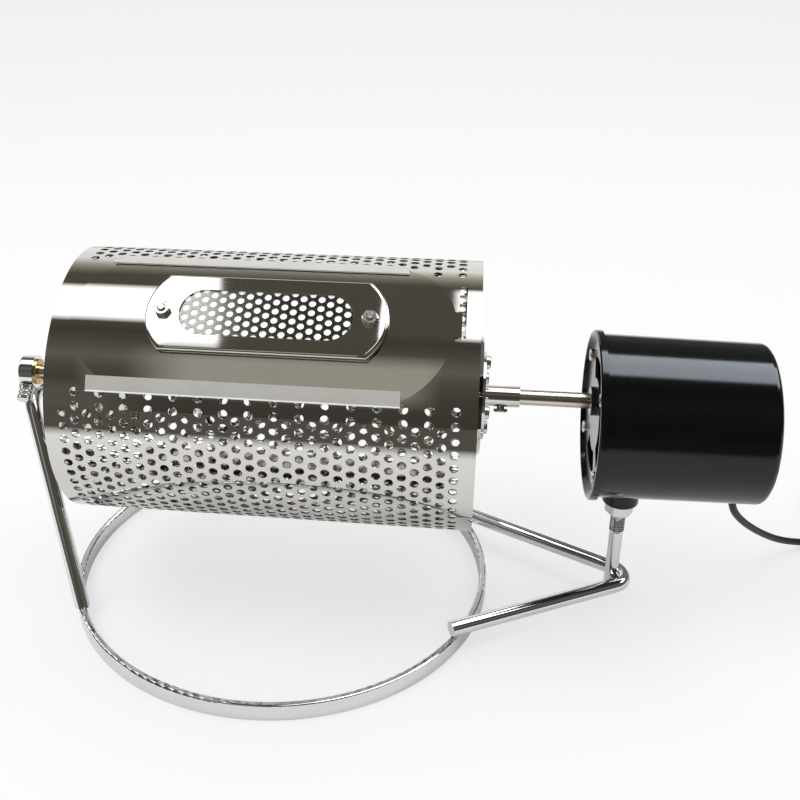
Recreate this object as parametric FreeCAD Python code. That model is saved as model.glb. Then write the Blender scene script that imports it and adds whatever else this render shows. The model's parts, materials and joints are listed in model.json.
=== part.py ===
import FreeCAD, Part
import math
import os

V = FreeCAD.Vector

# Home coffee bean roaster: a perforated drum turned by a geared motor, over an open ring stand.
# +X runs along the drum's axis towards the motor, +Z is up, and the front with the door faces -Y.
# The origin is the centre of the ring stand on the table. All sizes are in millimetres.

# Drum
AXIS_HEIGHT = 121.3
DRUM_DIAMETER = 140.0
DRUM_LENGTH = 207.0
DRUM_LEFT = -101.0
SHELL_SHEET = 0.8
END_SHEET = 1.2
END_LIP = 6.0
PAD_DIAMETER = 60.0
PAD_HEIGHT = 2.5
HOLE_DIAMETER = 4.5
HOLE_PITCH = 14.0
HOLE_MARGIN = 9.5
PLAIN_FROM_DEG = -6.0
PLAIN_TO_DEG = 73.0
VANE_HEIGHT = 12.0
VANE_SHEET = 1.0
VANE_GAP = 8.0
VANE_ANGLES_DEG = (108.0, 198.0, 288.0)

# Sliding door, its rails and its window
DOOR_ANGLE_DEG = 36.4
DOOR_CENTRE = 1.4
DOOR_HALF_LENGTH = 92.9
DOOR_HALF_WIDTH_DEG = 31.3
DOOR_STRAIGHT_HALF = 64.7
DOOR_SHEET = 0.8
DOOR_CLEARANCE = 0.3
TAB_LENGTH = 2.6
TAB_FROM_DEG = 30.0
TAB_TO_DEG = 41.0
SLOT_LENGTH = 3.6
SLOT_FROM_DEG = 15.5
OPENING_LENGTH = 120.0
OPENING_WIDTH_DEG = 36.0
RAIL_LENGTH = 149.6
RAIL_CENTRE = -4.5
RAIL_SHEET = 0.8
RAIL_LIP_DEG = 5.0
HANDLE_LENGTH = 117.0
HANDLE_WIDTH = 41.0
HANDLE_END_RISE = 9.0
HANDLE_SHEET = 0.8
HANDLE_LIP = 2.0
HANDLE_STANDOFF = 0.7
HANDLE_CENTRE = 4.4
WINDOW_LENGTH = 83.3
WINDOW_WIDTH = 24.4
MESH_LENGTH = 108.0
MESH_WIDTH = 32.0
MESH_SHEET = 0.6
MESH_HOLE = 3.3
MESH_PITCH = 5.5
PANE_SHEET = 0.8
DOOR_SCREW_SPACING = 99.7
DOOR_SCREW_DIAMETER = 4.0

# Hubs, axle and drive shaft
HUB_DIAMETER = 46.0
HUB_SHEET = 1.5
SLEEVE_DIAMETER = 11.0
RIGHT_SLEEVE_LENGTH = 18.0
LEFT_SLEEVE_LENGTH = 8.0
SHAFT_DIAMETER = 8.0
RUNNING_GAP = 0.05
HUB_SCREW_CIRCLE = 38.0
HUB_SCREW_COUNT = 4
HUB_SCREW_DIAMETER = 4.0
HUB_SCREW_HEAD = 7.0
HUB_SCREW_HEAD_HEIGHT = 2.4
HUB_NUT_ACROSS = 7.0
HUB_NUT_HEIGHT = 3.0
COUPLING_SCREW_DIAMETER = 4.0
COUPLING_SCREW_HEAD = 7.4
COUPLING_SCREW_TILT_DEG = 25.0
COUPLING_SCREW_OFFSET = 8.5

# Left bearing
CUP_DIAMETER = 18.0
CUP_LENGTH = 8.0
CUP_FROM_RING = 17.0
CUP_FLOOR = 1.6
BUSH_DIAMETER = 12.0
BUSH_FLANGE_DIAMETER = 14.0
BUSH_FLANGE = 1.2
LOCK_SCREW_DIAMETER = 4.0
LOCK_SCREW_HEAD = 8.4
LOCK_SCREW_LENGTH = 7.5
LOCK_SCREW_TILT_DEG = 48.0
LOCK_WASHER_DIAMETER = 9.6
LOCK_WASHER_SHEET = 0.6

# Ring stand, left stand and motor arm
RING_DIAMETER = 233.0
RING_WALL = 3.6
RING_HEIGHT = 9.0
RING_ROUND = 1.0
ROD_DIAMETER = 8.0
FOOT_ANGLE_DEG = 27.5
STAND_BEND = 12.0
ARM_TIP = 191.5
ARM_BEND = 9.0
WELD_SINK = 0.4
FOOT_LAP = 1.0
POST_FROM_TIP = 6.5
POST_DIAMETER = 7.2
THREAD_DIAMETER = 8.0
THREAD_PITCH = 1.25
THREAD_LENGTH = 26.0
NUT_ACROSS = 13.0
NUT_HEIGHT = 6.5
BOSS_DIAMETER = 19.0
BOSS_DROP = 51.5

# Motor case
MOTOR_DROP = 7.8
MOTOR_FRONT = 164.6
RIM_DIAMETER = 88.0
RIM_LENGTH = 3.8
RIM_SEAT = 1.0
RIM_FACE = 2.0
RIM_ROUND = 0.8
SPIGOT_LENGTH = 6.0
SLIDE_GAP = 0.1
CAN_FRONT_DIAMETER = 84.4
CAN_BACK_DIAMETER = 82.0
CAN_LENGTH = 81.6
CAN_SHEET = 1.0
CAN_CORNER = 3.0
PLATE_SHEET = 1.5
PLATE_RECESS = 2.3
PLATE_BOSS_DIAMETER = 15.0
PLATE_BOSS_LENGTH = 3.0
VENT_INNER = 19.0
VENT_OUTER = 30.0
VENT_SPANS_DEG = ((55.0, 118.0), (145.0, 218.0), (238.0, 300.0))

# Gears and motor inside the case
GEAR_MODULE = 0.7
PINION_TEETH = 14
WHEEL_TEETH = 42
GEAR_BACKLASH = 0.14
GEAR_GAP = 6.6
OUTPUT_GEAR_WIDTH = 5.0
STAGE_GAP = 1.0
WHEEL_WIDTH = 4.0
PIN_DIAMETER = 3.0
GEAR_PLATE_GAP = 2.0
GEAR_PLATE_SHEET = 2.0
GEAR_PLATE_DIAMETER = 78.0
STANDOFF_DIAMETER = 6.0
STANDOFF_CIRCLE = 68.0
STANDOFF_ANGLES_DEG = (40.0, 140.0, 220.0, 320.0)
PLATE_SCREW_HEAD = 6.4
PLATE_SCREW_HEAD_HEIGHT = 2.0
PLATE_SCREW_DIAMETER = 3.0
STATOR_DIAMETER = 58.0
STATOR_BORE = 30.0
STATOR_LENGTH = 22.0
MAGNET_DIAMETER = 28.0
MAGNET_GAP = 2.0
HOUSING_WALL = 1.0

# Cord and plug
CORD_DIAMETER = 4.0
CORD_LIFT = 0.1
CORD_TAIL = 20.0
GROMMET_FROM_END = 6.0
GROMMET_Y = 8.0
GROMMET_DIAMETER = 9.0
GROMMET_FLANGE = 1.5
GROMMET_NOSE = 7.2
GROMMET_STEM = 6.4
GROMMET_INSIDE = 4.0
GROMMET_LENGTH = 6.0
COIL_X = 350.0
COIL_Y = 95.0
COIL_OUTER_RADIUS = 33.0
COIL_STEP = 4.45
COIL_TURNS = 3.5
COIL_LAYER_STEP = 4.5
PLUG_WIDTH = 26.0
PLUG_THICKNESS = 13.0
PLUG_LENGTH = 34.0
PLUG_NECK = 7.5
PLUG_NECK_LENGTH = 12.0
PLUG_PIN_DIAMETER = 4.0
PLUG_PIN_SPACING = 19.0
PLUG_PIN_LENGTH = 19.0

# Worked out from the sizes above
DRUM_RADIUS = DRUM_DIAMETER / 2
DRUM_RIGHT = DRUM_LEFT + DRUM_LENGTH
SHELL_BORE = DRUM_RADIUS - SHELL_SHEET
DOOR_INNER = DRUM_RADIUS + DOOR_CLEARANCE
DOOR_OUTER = DOOR_INNER + DOOR_SHEET
LIP_INNER = DOOR_OUTER + DOOR_CLEARANCE
LIP_OUTER = LIP_INNER + RAIL_SHEET
RAIL_GAP_DEG = math.degrees(DOOR_CLEARANCE / DOOR_OUTER)
RISER_DEG = math.degrees(RAIL_SHEET / DOOR_OUTER)
RIGHT_PAD = DRUM_RIGHT + PAD_HEIGHT
LEFT_PAD = DRUM_LEFT - PAD_HEIGHT
SHAFT_RADIUS = SHAFT_DIAMETER / 2
SLEEVE_RIGHT = RIGHT_PAD + HUB_SHEET + RIGHT_SLEEVE_LENGTH
SLEEVE_LEFT = LEFT_PAD - HUB_SHEET - LEFT_SLEEVE_LENGTH
CUP_RIGHT = -RING_DIAMETER / 2 - CUP_FROM_RING
CUP_LEFT = CUP_RIGHT - CUP_LENGTH
MOTOR_AXIS = AXIS_HEIGHT - MOTOR_DROP
BOSS_BOTTOM = MOTOR_AXIS - BOSS_DROP
RING_RADIUS = RING_DIAMETER / 2
RING_MIDDLE = RING_RADIUS - RING_WALL / 2
POST_X = ARM_TIP - POST_FROM_TIP
FOOT_X = RING_MIDDLE * math.cos(math.radians(FOOT_ANGLE_DEG))
FOOT_Y = RING_MIDDLE * math.sin(math.radians(FOOT_ANGLE_DEG))
ARM_HEIGHT = RING_HEIGHT + ROD_DIAMETER / 2 - WELD_SINK
CAN_LEFT = MOTOR_FRONT + RIM_LENGTH
CAN_RIGHT = CAN_LEFT + CAN_LENGTH
GROMMET_X = CAN_RIGHT - GROMMET_FROM_END
PLATE_LEFT = MOTOR_FRONT + PLATE_RECESS
PLATE_RIGHT = PLATE_LEFT + PLATE_SHEET
FRONT_PLATE_RADIUS = CAN_FRONT_DIAMETER / 2 - CAN_SHEET - RIM_SEAT
GEAR_CENTRES = GEAR_MODULE * (PINION_TEETH + WHEEL_TEETH) / 2
IDLER_Z = AXIS_HEIGHT - MOTOR_DROP / 2
IDLER_Y = math.sqrt(GEAR_CENTRES ** 2 - (MOTOR_DROP / 2) ** 2)
OUTPUT_GEAR_LEFT = PLATE_RIGHT + GEAR_GAP
WHEEL_LEFT = OUTPUT_GEAR_LEFT + OUTPUT_GEAR_WIDTH + STAGE_GAP
GEAR_PLATE_LEFT = WHEEL_LEFT + WHEEL_WIDTH + GEAR_PLATE_GAP
STATOR_LEFT = GEAR_PLATE_LEFT + GEAR_PLATE_SHEET + 1.0
STATOR_RIGHT = STATOR_LEFT + STATOR_LENGTH
CORD_RADIUS = CORD_DIAMETER / 2
FLOOR_CORD = CORD_RADIUS + CORD_LIFT


def polar(x, radius, angle_deg):
    """A point at an angle from the drum's top towards the front."""
    a = math.radians(angle_deg)
    return V(x, -radius * math.sin(a), AXIS_HEIGHT + radius * math.cos(a))


def outward(angle_deg):
    """The direction straight out of the drum at an angle from its top towards the front."""
    a = math.radians(angle_deg)
    return V(0, -math.sin(a), math.cos(a))


def cylinder_x(radius, x0, x1, y=0.0, z=AXIS_HEIGHT):
    return Part.makeCylinder(radius, x1 - x0, V(x0, y, z), V(1, 0, 0))


def tube_x(outer, inner, x0, x1, y=0.0, z=AXIS_HEIGHT):
    return cylinder_x(outer, x0, x1, y, z).cut(cylinder_x(inner, x0 - 1, x1 + 1, y, z))


def lathe_x(profile, z):
    """A closed profile of (x, radius) points turned about the line at height z."""
    points = [V(x, 0, z + r) for x, r in profile]
    face = Part.Face(Part.makePolygon(points + points[:1]))
    return face.revolve(V(0, 0, z), V(1, 0, 0), 360)


def sector(inner, outer, from_deg, to_deg, x0, x1):
    """A curved bar between two radii and two angles about the drum's axis."""
    angles = (from_deg, (from_deg + to_deg) / 2, to_deg)
    far = [polar(x0, outer, a) for a in angles]
    near = [polar(x0, inner, a) for a in reversed(angles)]
    edges = [
        Part.Arc(*far).toShape(),
        Part.makeLine(far[-1], near[0]),
        Part.Arc(*near).toShape(),
        Part.makeLine(near[-1], far[0]),
    ]
    return Part.Face(Part.Wire(edges)).extrude(V(x1 - x0, 0, 0))


def prism(wire, height):
    """A flat outline raised by a height along +Z."""
    return Part.Face(wire).extrude(V(0, 0, height))


def onto(shape, base, direction):
    """Moves a shape made on +Z at the origin to a base point and a direction, keeping its X along +X."""
    z = V(direction).normalize()
    x = V(1, 0, 0) if abs(z.x) < 0.9 else V(0, 1, 0)
    y = z.cross(x).normalize()
    x = y.cross(z)
    frame = FreeCAD.Matrix(
        x.x, y.x, z.x, base.x,
        x.y, y.y, z.y, base.y,
        x.z, y.z, z.z, base.z,
        0, 0, 0, 1)
    moved = shape.copy()
    moved.transformShape(frame)
    return moved


def hex_nut(across, height, bore):
    """A nut on the XY plane with its corners turned down on both faces."""
    corner = across / math.sqrt(3)
    angles = [k * math.pi / 3 for k in range(7)]
    points = [V(corner * math.cos(a), corner * math.sin(a), 0) for a in angles]
    nut = prism(Part.makePolygon(points), height)
    narrow = across / 2 - 0.1
    wide = narrow + 0.9 * height
    cap = Part.makeCone(wide, narrow, height / 2, V(0, 0, height / 2))
    foot = Part.makeCone(narrow, wide, height / 2)
    return nut.common(cap.fuse(foot)).cut(Part.makeCylinder(bore / 2, height + 2, V(0, 0, -1)))


def pan_screw(head, head_height, shank, length):
    """A round-headed screw: its head stands above the XY plane and its shank goes below."""
    body = Part.makeCylinder(head / 2, head_height)
    top = [e for e in body.Edges if e.BoundBox.ZMin > head_height - 0.01]
    body = body.makeFillet(head_height * 0.45, top)
    slot = Part.makeBox(head, head * 0.12, head_height, V(-head / 2, -head * 0.06, head_height * 0.55))
    cross = Part.makeBox(head * 0.12, head, head_height, V(-head * 0.06, -head / 2, head_height * 0.55))
    limit = Part.makeCylinder(head * 0.28, head_height * 2)
    body = body.cut(slot.fuse(cross).common(limit))
    return body.fuse(Part.makeCylinder(shank / 2, length, V(0, 0, -length))).removeSplitter()


def rounded_wire(points, radii):
    """Straight runs joined by tangent arcs; radii hold one radius for each inner point."""
    edges = []
    last = points[0]
    for k, radius in enumerate(radii):
        corner = points[k + 1]
        into = (corner - points[k]).normalize()
        away = (points[k + 2] - corner).normalize()
        turn = into.getAngle(away)
        reach = radius * math.tan(turn / 2)
        start = corner - into * reach
        end = corner + away * reach
        inward = (away - into).normalize()
        middle = corner + inward * (radius / math.cos(turn / 2) - radius)
        if (start - last).Length > 0.001:
            edges.append(Part.makeLine(last, start))
        edges.append(Part.Arc(start, middle, end).toShape())
        last = end
    edges.append(Part.makeLine(last, points[-1]))
    return Part.Wire(edges)


def swept_rod(wire, diameter):
    """A round rod along a wire."""
    start = wire.Edges[0]
    direction = start.tangentAt(start.FirstParameter)
    if (start.valueAt(start.FirstParameter) - wire.OrderedVertexes[0].Point).Length > 0.001:
        direction = start.tangentAt(start.LastParameter) * -1
    ring = Part.Wire(Part.makeCircle(diameter / 2, wire.OrderedVertexes[0].Point, direction))
    return wire.makePipeShell([ring], True, False)


def hairpin(foot_middle, apex, half_width, bend, overrun):
    """A rod bent in a V, with feet at +Y and -Y of foot_middle and its bend's centre line through apex."""
    up = apex - foot_middle
    reach = up.Length
    up.normalize()
    centre = reach - bend
    half = math.atan2(half_width, centre) - math.asin(bend / math.hypot(half_width, centre))
    peak = foot_middle + up * (centre + bend / math.sin(half))
    feet = [foot_middle + V(0, side * half_width, 0) for side in (-1, 1)]
    ends = [peak + (foot - peak) * (1 + overrun / (foot - peak).Length) for foot in feet]
    return swept_rod(rounded_wire([ends[0], peak, ends[1]], [bend]), ROD_DIAMETER)


def biarc(p0, t0, p1, t1):
    """Two arcs that join two points along two directions."""
    gap = p1 - p0
    total = t0 + t1
    spread = 2 * (1 - t0.dot(t1))
    along = gap.dot(total)
    if spread < 1e-9:
        reach = gap.dot(gap) / (4 * gap.dot(t1))
    else:
        reach = (math.sqrt(along * along + spread * gap.dot(gap)) - along) / spread
    first = p0 + t0 * reach
    second = p1 - t1 * reach
    joint = (first + second) * 0.5
    return [arc_by_corner(p0, first, joint), arc_by_corner(joint, second, p1)]


def arc_by_corner(start, corner, end):
    """The arc from start to end whose end tangents cross at corner."""
    middle = (start + end) * 0.5
    half = (end - start).Length / 2
    rise = (corner - middle).Length
    if rise < 1e-6:
        return Part.makeLine(start, end)
    slope = math.atan2(rise, half)
    top = middle + (corner - middle) * (half * math.tan(slope / 2) / rise)
    return Part.Arc(start, top, end).toShape()


def gear(teeth, width, bore, x0, y, z, phase):
    """A spur gear about X, with a tooth centred on the phase angle, counted from +Y towards +Z."""
    pitch = GEAR_MODULE * teeth / 2
    base = pitch * math.cos(math.radians(20))
    tip = pitch + 0.9 * GEAR_MODULE
    root = pitch - 1.25 * GEAR_MODULE
    pressure = math.radians(20)
    half = math.pi / (2 * teeth) - GEAR_BACKLASH / (2 * pitch) + math.tan(pressure) - pressure
    lowest = max(base, root)
    flank = []
    for step in range(4):
        radius = lowest + (tip - lowest) * step / 3
        roll = math.acos(min(1.0, base / radius))
        flank.append((radius, half - (math.tan(roll) - roll)))
    if root < base:
        flank.insert(0, (root, flank[0][1]))
    outline = []
    for tooth in range(teeth):
        centre = phase + 2 * math.pi * tooth / teeth
        outline += [(r, centre - a) for r, a in flank]
        outline += [(r, centre + a) for r, a in reversed(flank)]
    points = [V(x0, y + r * math.cos(a), z + r * math.sin(a)) for r, a in outline]
    blank = Part.Face(Part.makePolygon(points + points[:1])).extrude(V(width, 0, 0))
    return blank.cut(cylinder_x(bore / 2, x0 - 1, x0 + width + 1, y, z))


def drum_shell():
    shell = tube_x(DRUM_RADIUS, SHELL_BORE, DRUM_LEFT, DRUM_RIGHT)
    half = OPENING_WIDTH_DEG / 2
    opening = sector(
        SHELL_BORE - 2, DRUM_RADIUS + 2, DOOR_ANGLE_DEG - half, DOOR_ANGLE_DEG + half,
        DOOR_CENTRE - OPENING_LENGTH / 2, DOOR_CENTRE + OPENING_LENGTH / 2)
    slot_left = DOOR_CENTRE + DOOR_HALF_LENGTH + 1.0
    slot = sector(
        SHELL_BORE - 2, DRUM_RADIUS + 2, SLOT_FROM_DEG, TAB_TO_DEG, slot_left, slot_left + SLOT_LENGTH)
    shell = shell.cut(opening).cut(slot)
    column_step = HOLE_PITCH * math.sqrt(3) / 2
    columns = int((DRUM_LENGTH - 2 * HOLE_MARGIN) / column_step) + 1
    rows = round(math.pi * DRUM_DIAMETER / HOLE_PITCH)
    first = DRUM_LEFT + (DRUM_LENGTH - (columns - 1) * column_step) / 2
    drills = []
    for column in range(columns):
        for row in range(rows):
            angle = 360 * (row + 0.5 * (column % 2)) / rows
            if PLAIN_TO_DEG < angle < 360 + PLAIN_FROM_DEG:
                base = polar(first + column * column_step, SHELL_BORE - 1, angle)
                drills.append(Part.makeCylinder(HOLE_DIAMETER / 2, SHELL_SHEET + 2, base, outward(angle)))
    return shell.cut(drills)


def end_plate(side):
    """A pressed end: a lip inside the shell and a raised pad for the hub; side is 1 right, -1 left."""
    rim = DRUM_RIGHT if side > 0 else DRUM_LEFT
    pad = PAD_DIAMETER / 2
    rise = PAD_HEIGHT
    profile = [
        (rim - side * END_LIP, SHELL_BORE),
        (rim, SHELL_BORE),
        (rim, pad + rise),
        (rim + side * rise, pad),
        (rim + side * rise, SHAFT_RADIUS),
        (rim + side * (rise - END_SHEET), SHAFT_RADIUS),
        (rim + side * (rise - END_SHEET), pad - END_SHEET / 2),
        (rim - side * END_SHEET, pad + rise - END_SHEET / 2),
        (rim - side * END_SHEET, SHELL_BORE - END_SHEET),
        (rim - side * END_LIP, SHELL_BORE - END_SHEET),
    ]
    plate = lathe_x(profile, AXIS_HEIGHT)
    return plate.cut([hub_drill(side, k, HUB_SCREW_DIAMETER) for k in range(HUB_SCREW_COUNT)])


def hub_screw_place(side, k, x):
    return polar(x, HUB_SCREW_CIRCLE / 2, 360 * k / HUB_SCREW_COUNT)


def hub_drill(side, k, diameter):
    x = RIGHT_PAD if side > 0 else LEFT_PAD
    base = hub_screw_place(side, k, x)
    return Part.makeCylinder(diameter / 2, 20, base - V(10, 0, 0), V(1, 0, 0))


def hub(side, sleeve_length):
    """A flat disc with a sleeve, screwed to an end plate."""
    face = RIGHT_PAD if side > 0 else LEFT_PAD
    disc_end = face + side * HUB_SHEET
    sleeve_end = disc_end + side * sleeve_length
    profile = [
        (face, SHAFT_RADIUS),
        (face, HUB_DIAMETER / 2),
        (disc_end, HUB_DIAMETER / 2),
        (disc_end, SLEEVE_DIAMETER / 2),
        (sleeve_end, SLEEVE_DIAMETER / 2),
        (sleeve_end, SHAFT_RADIUS),
    ]
    body = lathe_x(profile, AXIS_HEIGHT)
    return body.cut([hub_drill(side, k, HUB_SCREW_DIAMETER) for k in range(HUB_SCREW_COUNT)])


def hub_screws(side):
    face = (RIGHT_PAD if side > 0 else LEFT_PAD) + side * HUB_SHEET
    length = HUB_SHEET + END_SHEET + HUB_NUT_HEIGHT
    screw = pan_screw(HUB_SCREW_HEAD, HUB_SCREW_HEAD_HEIGHT, HUB_SCREW_DIAMETER, length)
    screws = [onto(screw, hub_screw_place(side, k, face), V(side, 0, 0)) for k in range(HUB_SCREW_COUNT)]
    return Part.makeCompound(screws)


def hub_nuts(side):
    inner = (RIGHT_PAD if side > 0 else LEFT_PAD) - side * END_SHEET
    nut = hex_nut(HUB_NUT_ACROSS, HUB_NUT_HEIGHT, HUB_SCREW_DIAMETER)
    nuts = [onto(nut, hub_screw_place(side, k, inner), V(-side, 0, 0)) for k in range(HUB_SCREW_COUNT)]
    return Part.makeCompound(nuts)


def coupling_direction():
    a = math.radians(COUPLING_SCREW_TILT_DEG)
    return V(0, -math.sin(a), -math.cos(a))


def coupling_screw():
    reach = SLEEVE_DIAMETER / 2 + 1.0
    screw = pan_screw(COUPLING_SCREW_HEAD, 1.8, COUPLING_SCREW_DIAMETER, reach - SHAFT_RADIUS)
    x = RIGHT_PAD + HUB_SHEET + COUPLING_SCREW_OFFSET
    base = V(x, 0, AXIS_HEIGHT) + coupling_direction() * reach
    return onto(screw, base, coupling_direction()).cut(drive_shaft())


def right_hub():
    x = RIGHT_PAD + HUB_SHEET + COUPLING_SCREW_OFFSET
    centre = V(x, 0, AXIS_HEIGHT)
    drill = Part.makeCylinder(COUPLING_SCREW_DIAMETER / 2, SLEEVE_DIAMETER, centre, coupling_direction())
    return hub(1, RIGHT_SLEEVE_LENGTH).cut(drill)


def drive_shaft():
    return cylinder_x(SHAFT_RADIUS, RIGHT_PAD - END_SHEET, OUTPUT_GEAR_LEFT + OUTPUT_GEAR_WIDTH)


def left_axle():
    return cylinder_x(SHAFT_RADIUS, CUP_LEFT + CUP_FLOOR + 0.6, LEFT_PAD + END_SHEET)


def rail(edge_deg, side):
    """A strip with a lip over the door's edge; side is 1 where the door lies at larger angles."""
    outer_deg = edge_deg - side * (RAIL_GAP_DEG + RISER_DEG)
    inner_deg = edge_deg - side * RAIL_GAP_DEG
    lip_deg = edge_deg + side * RAIL_LIP_DEG
    x0 = RAIL_CENTRE - RAIL_LENGTH / 2
    x1 = RAIL_CENTRE + RAIL_LENGTH / 2
    riser = sector(DRUM_RADIUS, LIP_INNER, min(outer_deg, inner_deg), max(outer_deg, inner_deg), x0, x1)
    lip = sector(LIP_INNER, LIP_OUTER, min(outer_deg, lip_deg), max(outer_deg, lip_deg), x0, x1)
    return riser.fuse(lip).removeSplitter()


def vane(angle_deg):
    half = math.degrees(VANE_SHEET / SHELL_BORE) / 2
    x0 = DRUM_LEFT + END_LIP + VANE_GAP
    x1 = DRUM_RIGHT - END_LIP - VANE_GAP
    return sector(SHELL_BORE - VANE_HEIGHT, SHELL_BORE, angle_deg - half, angle_deg + half, x0, x1)


def door_normal():
    return outward(DOOR_ANGLE_DEG)


def door_frame_point(x, across, height):
    """A point by its place along X, its distance up the door and its height above the drum's axis."""
    up = V(0, math.cos(math.radians(DOOR_ANGLE_DEG)), math.sin(math.radians(DOOR_ANGLE_DEG)))
    return V(x, 0, AXIS_HEIGHT) + up * across + door_normal() * height


def end_bowed(half_length, half_width, rise):
    """A flat outline with straight long sides and bowed ends, centred on the origin."""
    straight = half_length - rise
    corners = [
        V(-straight, -half_width, 0), V(straight, -half_width, 0),
        V(straight, half_width, 0), V(-straight, half_width, 0)]
    return Part.Wire([
        Part.makeLine(corners[0], corners[1]),
        Part.Arc(corners[1], V(half_length, 0, 0), corners[2]).toShape(),
        Part.makeLine(corners[2], corners[3]),
        Part.Arc(corners[3], V(-half_length, 0, 0), corners[0]).toShape(),
    ])


def door_screw_points(height):
    return [
        door_frame_point(HANDLE_CENTRE + side * DOOR_SCREW_SPACING / 2, 0, height) for side in (-1, 1)]


def door_drills(diameter):
    points = door_screw_points(DRUM_RADIUS - 10)
    return [Part.makeCylinder(diameter / 2, 30, point, door_normal()) for point in points]


def door_plate():
    half_width = DOOR_OUTER * math.sin(math.radians(DOOR_HALF_WIDTH_DEG))
    outline = end_bowed(DOOR_HALF_LENGTH, half_width, DOOR_HALF_LENGTH - DOOR_STRAIGHT_HALF)
    low = door_frame_point(DOOR_CENTRE, 0, DRUM_RADIUS / 2)
    blank = onto(prism(outline, DRUM_RADIUS), low, door_normal())
    x0 = DOOR_CENTRE - DOOR_HALF_LENGTH - 1
    x1 = DOOR_CENTRE + DOOR_HALF_LENGTH + 1
    upper = DOOR_ANGLE_DEG - DOOR_HALF_WIDTH_DEG
    lower = DOOR_ANGLE_DEG + DOOR_HALF_WIDTH_DEG
    sheet = sector(DOOR_INNER, DOOR_OUTER, upper, lower, x0, x1)
    plate = sheet.common(blank)
    right = DOOR_CENTRE + DOOR_HALF_LENGTH
    tab = sector(DOOR_INNER, DOOR_OUTER, TAB_FROM_DEG, TAB_TO_DEG, right - TAB_LENGTH, right + TAB_LENGTH)
    return plate.fuse(tab).removeSplitter().cut(door_drills(DOOR_SCREW_DIAMETER))


def window_outline(length, width):
    return end_bowed(length / 2, width / 2, width / 2)


PANE_BASE = DOOR_OUTER + HANDLE_STANDOFF
MESH_BASE = PANE_BASE + PANE_SHEET
HANDLE_BASE = MESH_BASE + MESH_SHEET
HANDLE_TOP = HANDLE_BASE + HANDLE_SHEET


def window_pane():
    pane = prism(window_outline(MESH_LENGTH, MESH_WIDTH), PANE_SHEET)
    pane = onto(pane, door_frame_point(HANDLE_CENTRE, 0, PANE_BASE), door_normal())
    return pane.cut(door_drills(DOOR_SCREW_DIAMETER))


def window_mesh():
    """The perforated strip: staggered holes across the part that shows in the window."""
    strip = prism(window_outline(MESH_LENGTH, MESH_WIDTH), MESH_SHEET)
    column_step = MESH_PITCH * math.sqrt(3) / 2
    columns = int(WINDOW_LENGTH / 2 / column_step) + 1
    rows = int(WINDOW_WIDTH / 2 / MESH_PITCH) + 1
    drills = []
    for column in range(-columns, columns + 1):
        for row in range(-rows, rows + 1):
            x = column * column_step
            y = (row + 0.5 * (column % 2)) * MESH_PITCH
            overhang = max(0.0, abs(x) - (WINDOW_LENGTH - WINDOW_WIDTH) / 2)
            if math.hypot(overhang, y) < WINDOW_WIDTH / 2 + MESH_HOLE / 3:
                drills.append(Part.makeCylinder(MESH_HOLE / 2, MESH_SHEET + 2, V(x, y, -1)))
    strip = onto(strip.cut(drills), door_frame_point(HANDLE_CENTRE, 0, MESH_BASE), door_normal())
    return strip.cut(door_drills(DOOR_SCREW_DIAMETER))


def handle_plate():
    """The flat plate round the window, with an edge folded towards the door."""
    half_length = HANDLE_LENGTH / 2
    half_width = HANDLE_WIDTH / 2
    outer = prism(end_bowed(half_length, half_width, HANDLE_END_RISE), HANDLE_SHEET + HANDLE_LIP)
    hollow = end_bowed(half_length - HANDLE_SHEET, half_width - HANDLE_SHEET, HANDLE_END_RISE)
    window = prism(window_outline(WINDOW_LENGTH, WINDOW_WIDTH), 3 * (HANDLE_SHEET + HANDLE_LIP))
    plate = outer.cut(prism(hollow, HANDLE_LIP)).cut(window)
    plate = onto(plate, door_frame_point(HANDLE_CENTRE, 0, HANDLE_BASE - HANDLE_LIP), door_normal())
    return plate.cut(door_drills(DOOR_SCREW_DIAMETER))


def door_spacers():
    ring = Part.makeCylinder(3.5, HANDLE_STANDOFF)
    ring = ring.cut(Part.makeCylinder(DOOR_SCREW_DIAMETER / 2, HANDLE_STANDOFF))
    rings = [onto(ring, point, door_normal()) for point in door_screw_points(DOOR_OUTER)]
    curved = cylinder_x(DOOR_OUTER, DRUM_LEFT, DRUM_RIGHT)
    return Part.makeCompound([ring.cut(curved) for ring in rings])


def door_nuts():
    nut = hex_nut(7.0, 2.6, DOOR_SCREW_DIAMETER)
    return Part.makeCompound([onto(nut, point, door_normal()) for point in door_screw_points(HANDLE_TOP)])


def door_screws():
    """Screws with a low head under the door and their ends above the nuts."""
    head_base = DOOR_INNER
    length = HANDLE_TOP + 3.6 - head_base
    stem = Part.makeCylinder(DOOR_SCREW_DIAMETER / 2, length)
    stem = stem.makeChamfer(0.5, [e for e in stem.Edges if e.BoundBox.ZMin > length - 0.01])
    return Part.makeCompound([onto(stem, point, door_normal()) for point in door_screw_points(head_base)])


def ring_stand():
    outer = Part.makeCylinder(RING_RADIUS, RING_HEIGHT)
    ring = outer.cut(Part.makeCylinder(RING_RADIUS - RING_WALL, RING_HEIGHT))
    top = [e for e in ring.Edges if e.BoundBox.ZMin > RING_HEIGHT - 0.01]
    return ring.makeFillet(RING_ROUND, top).cut([motor_arm(), left_stand()])


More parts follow.
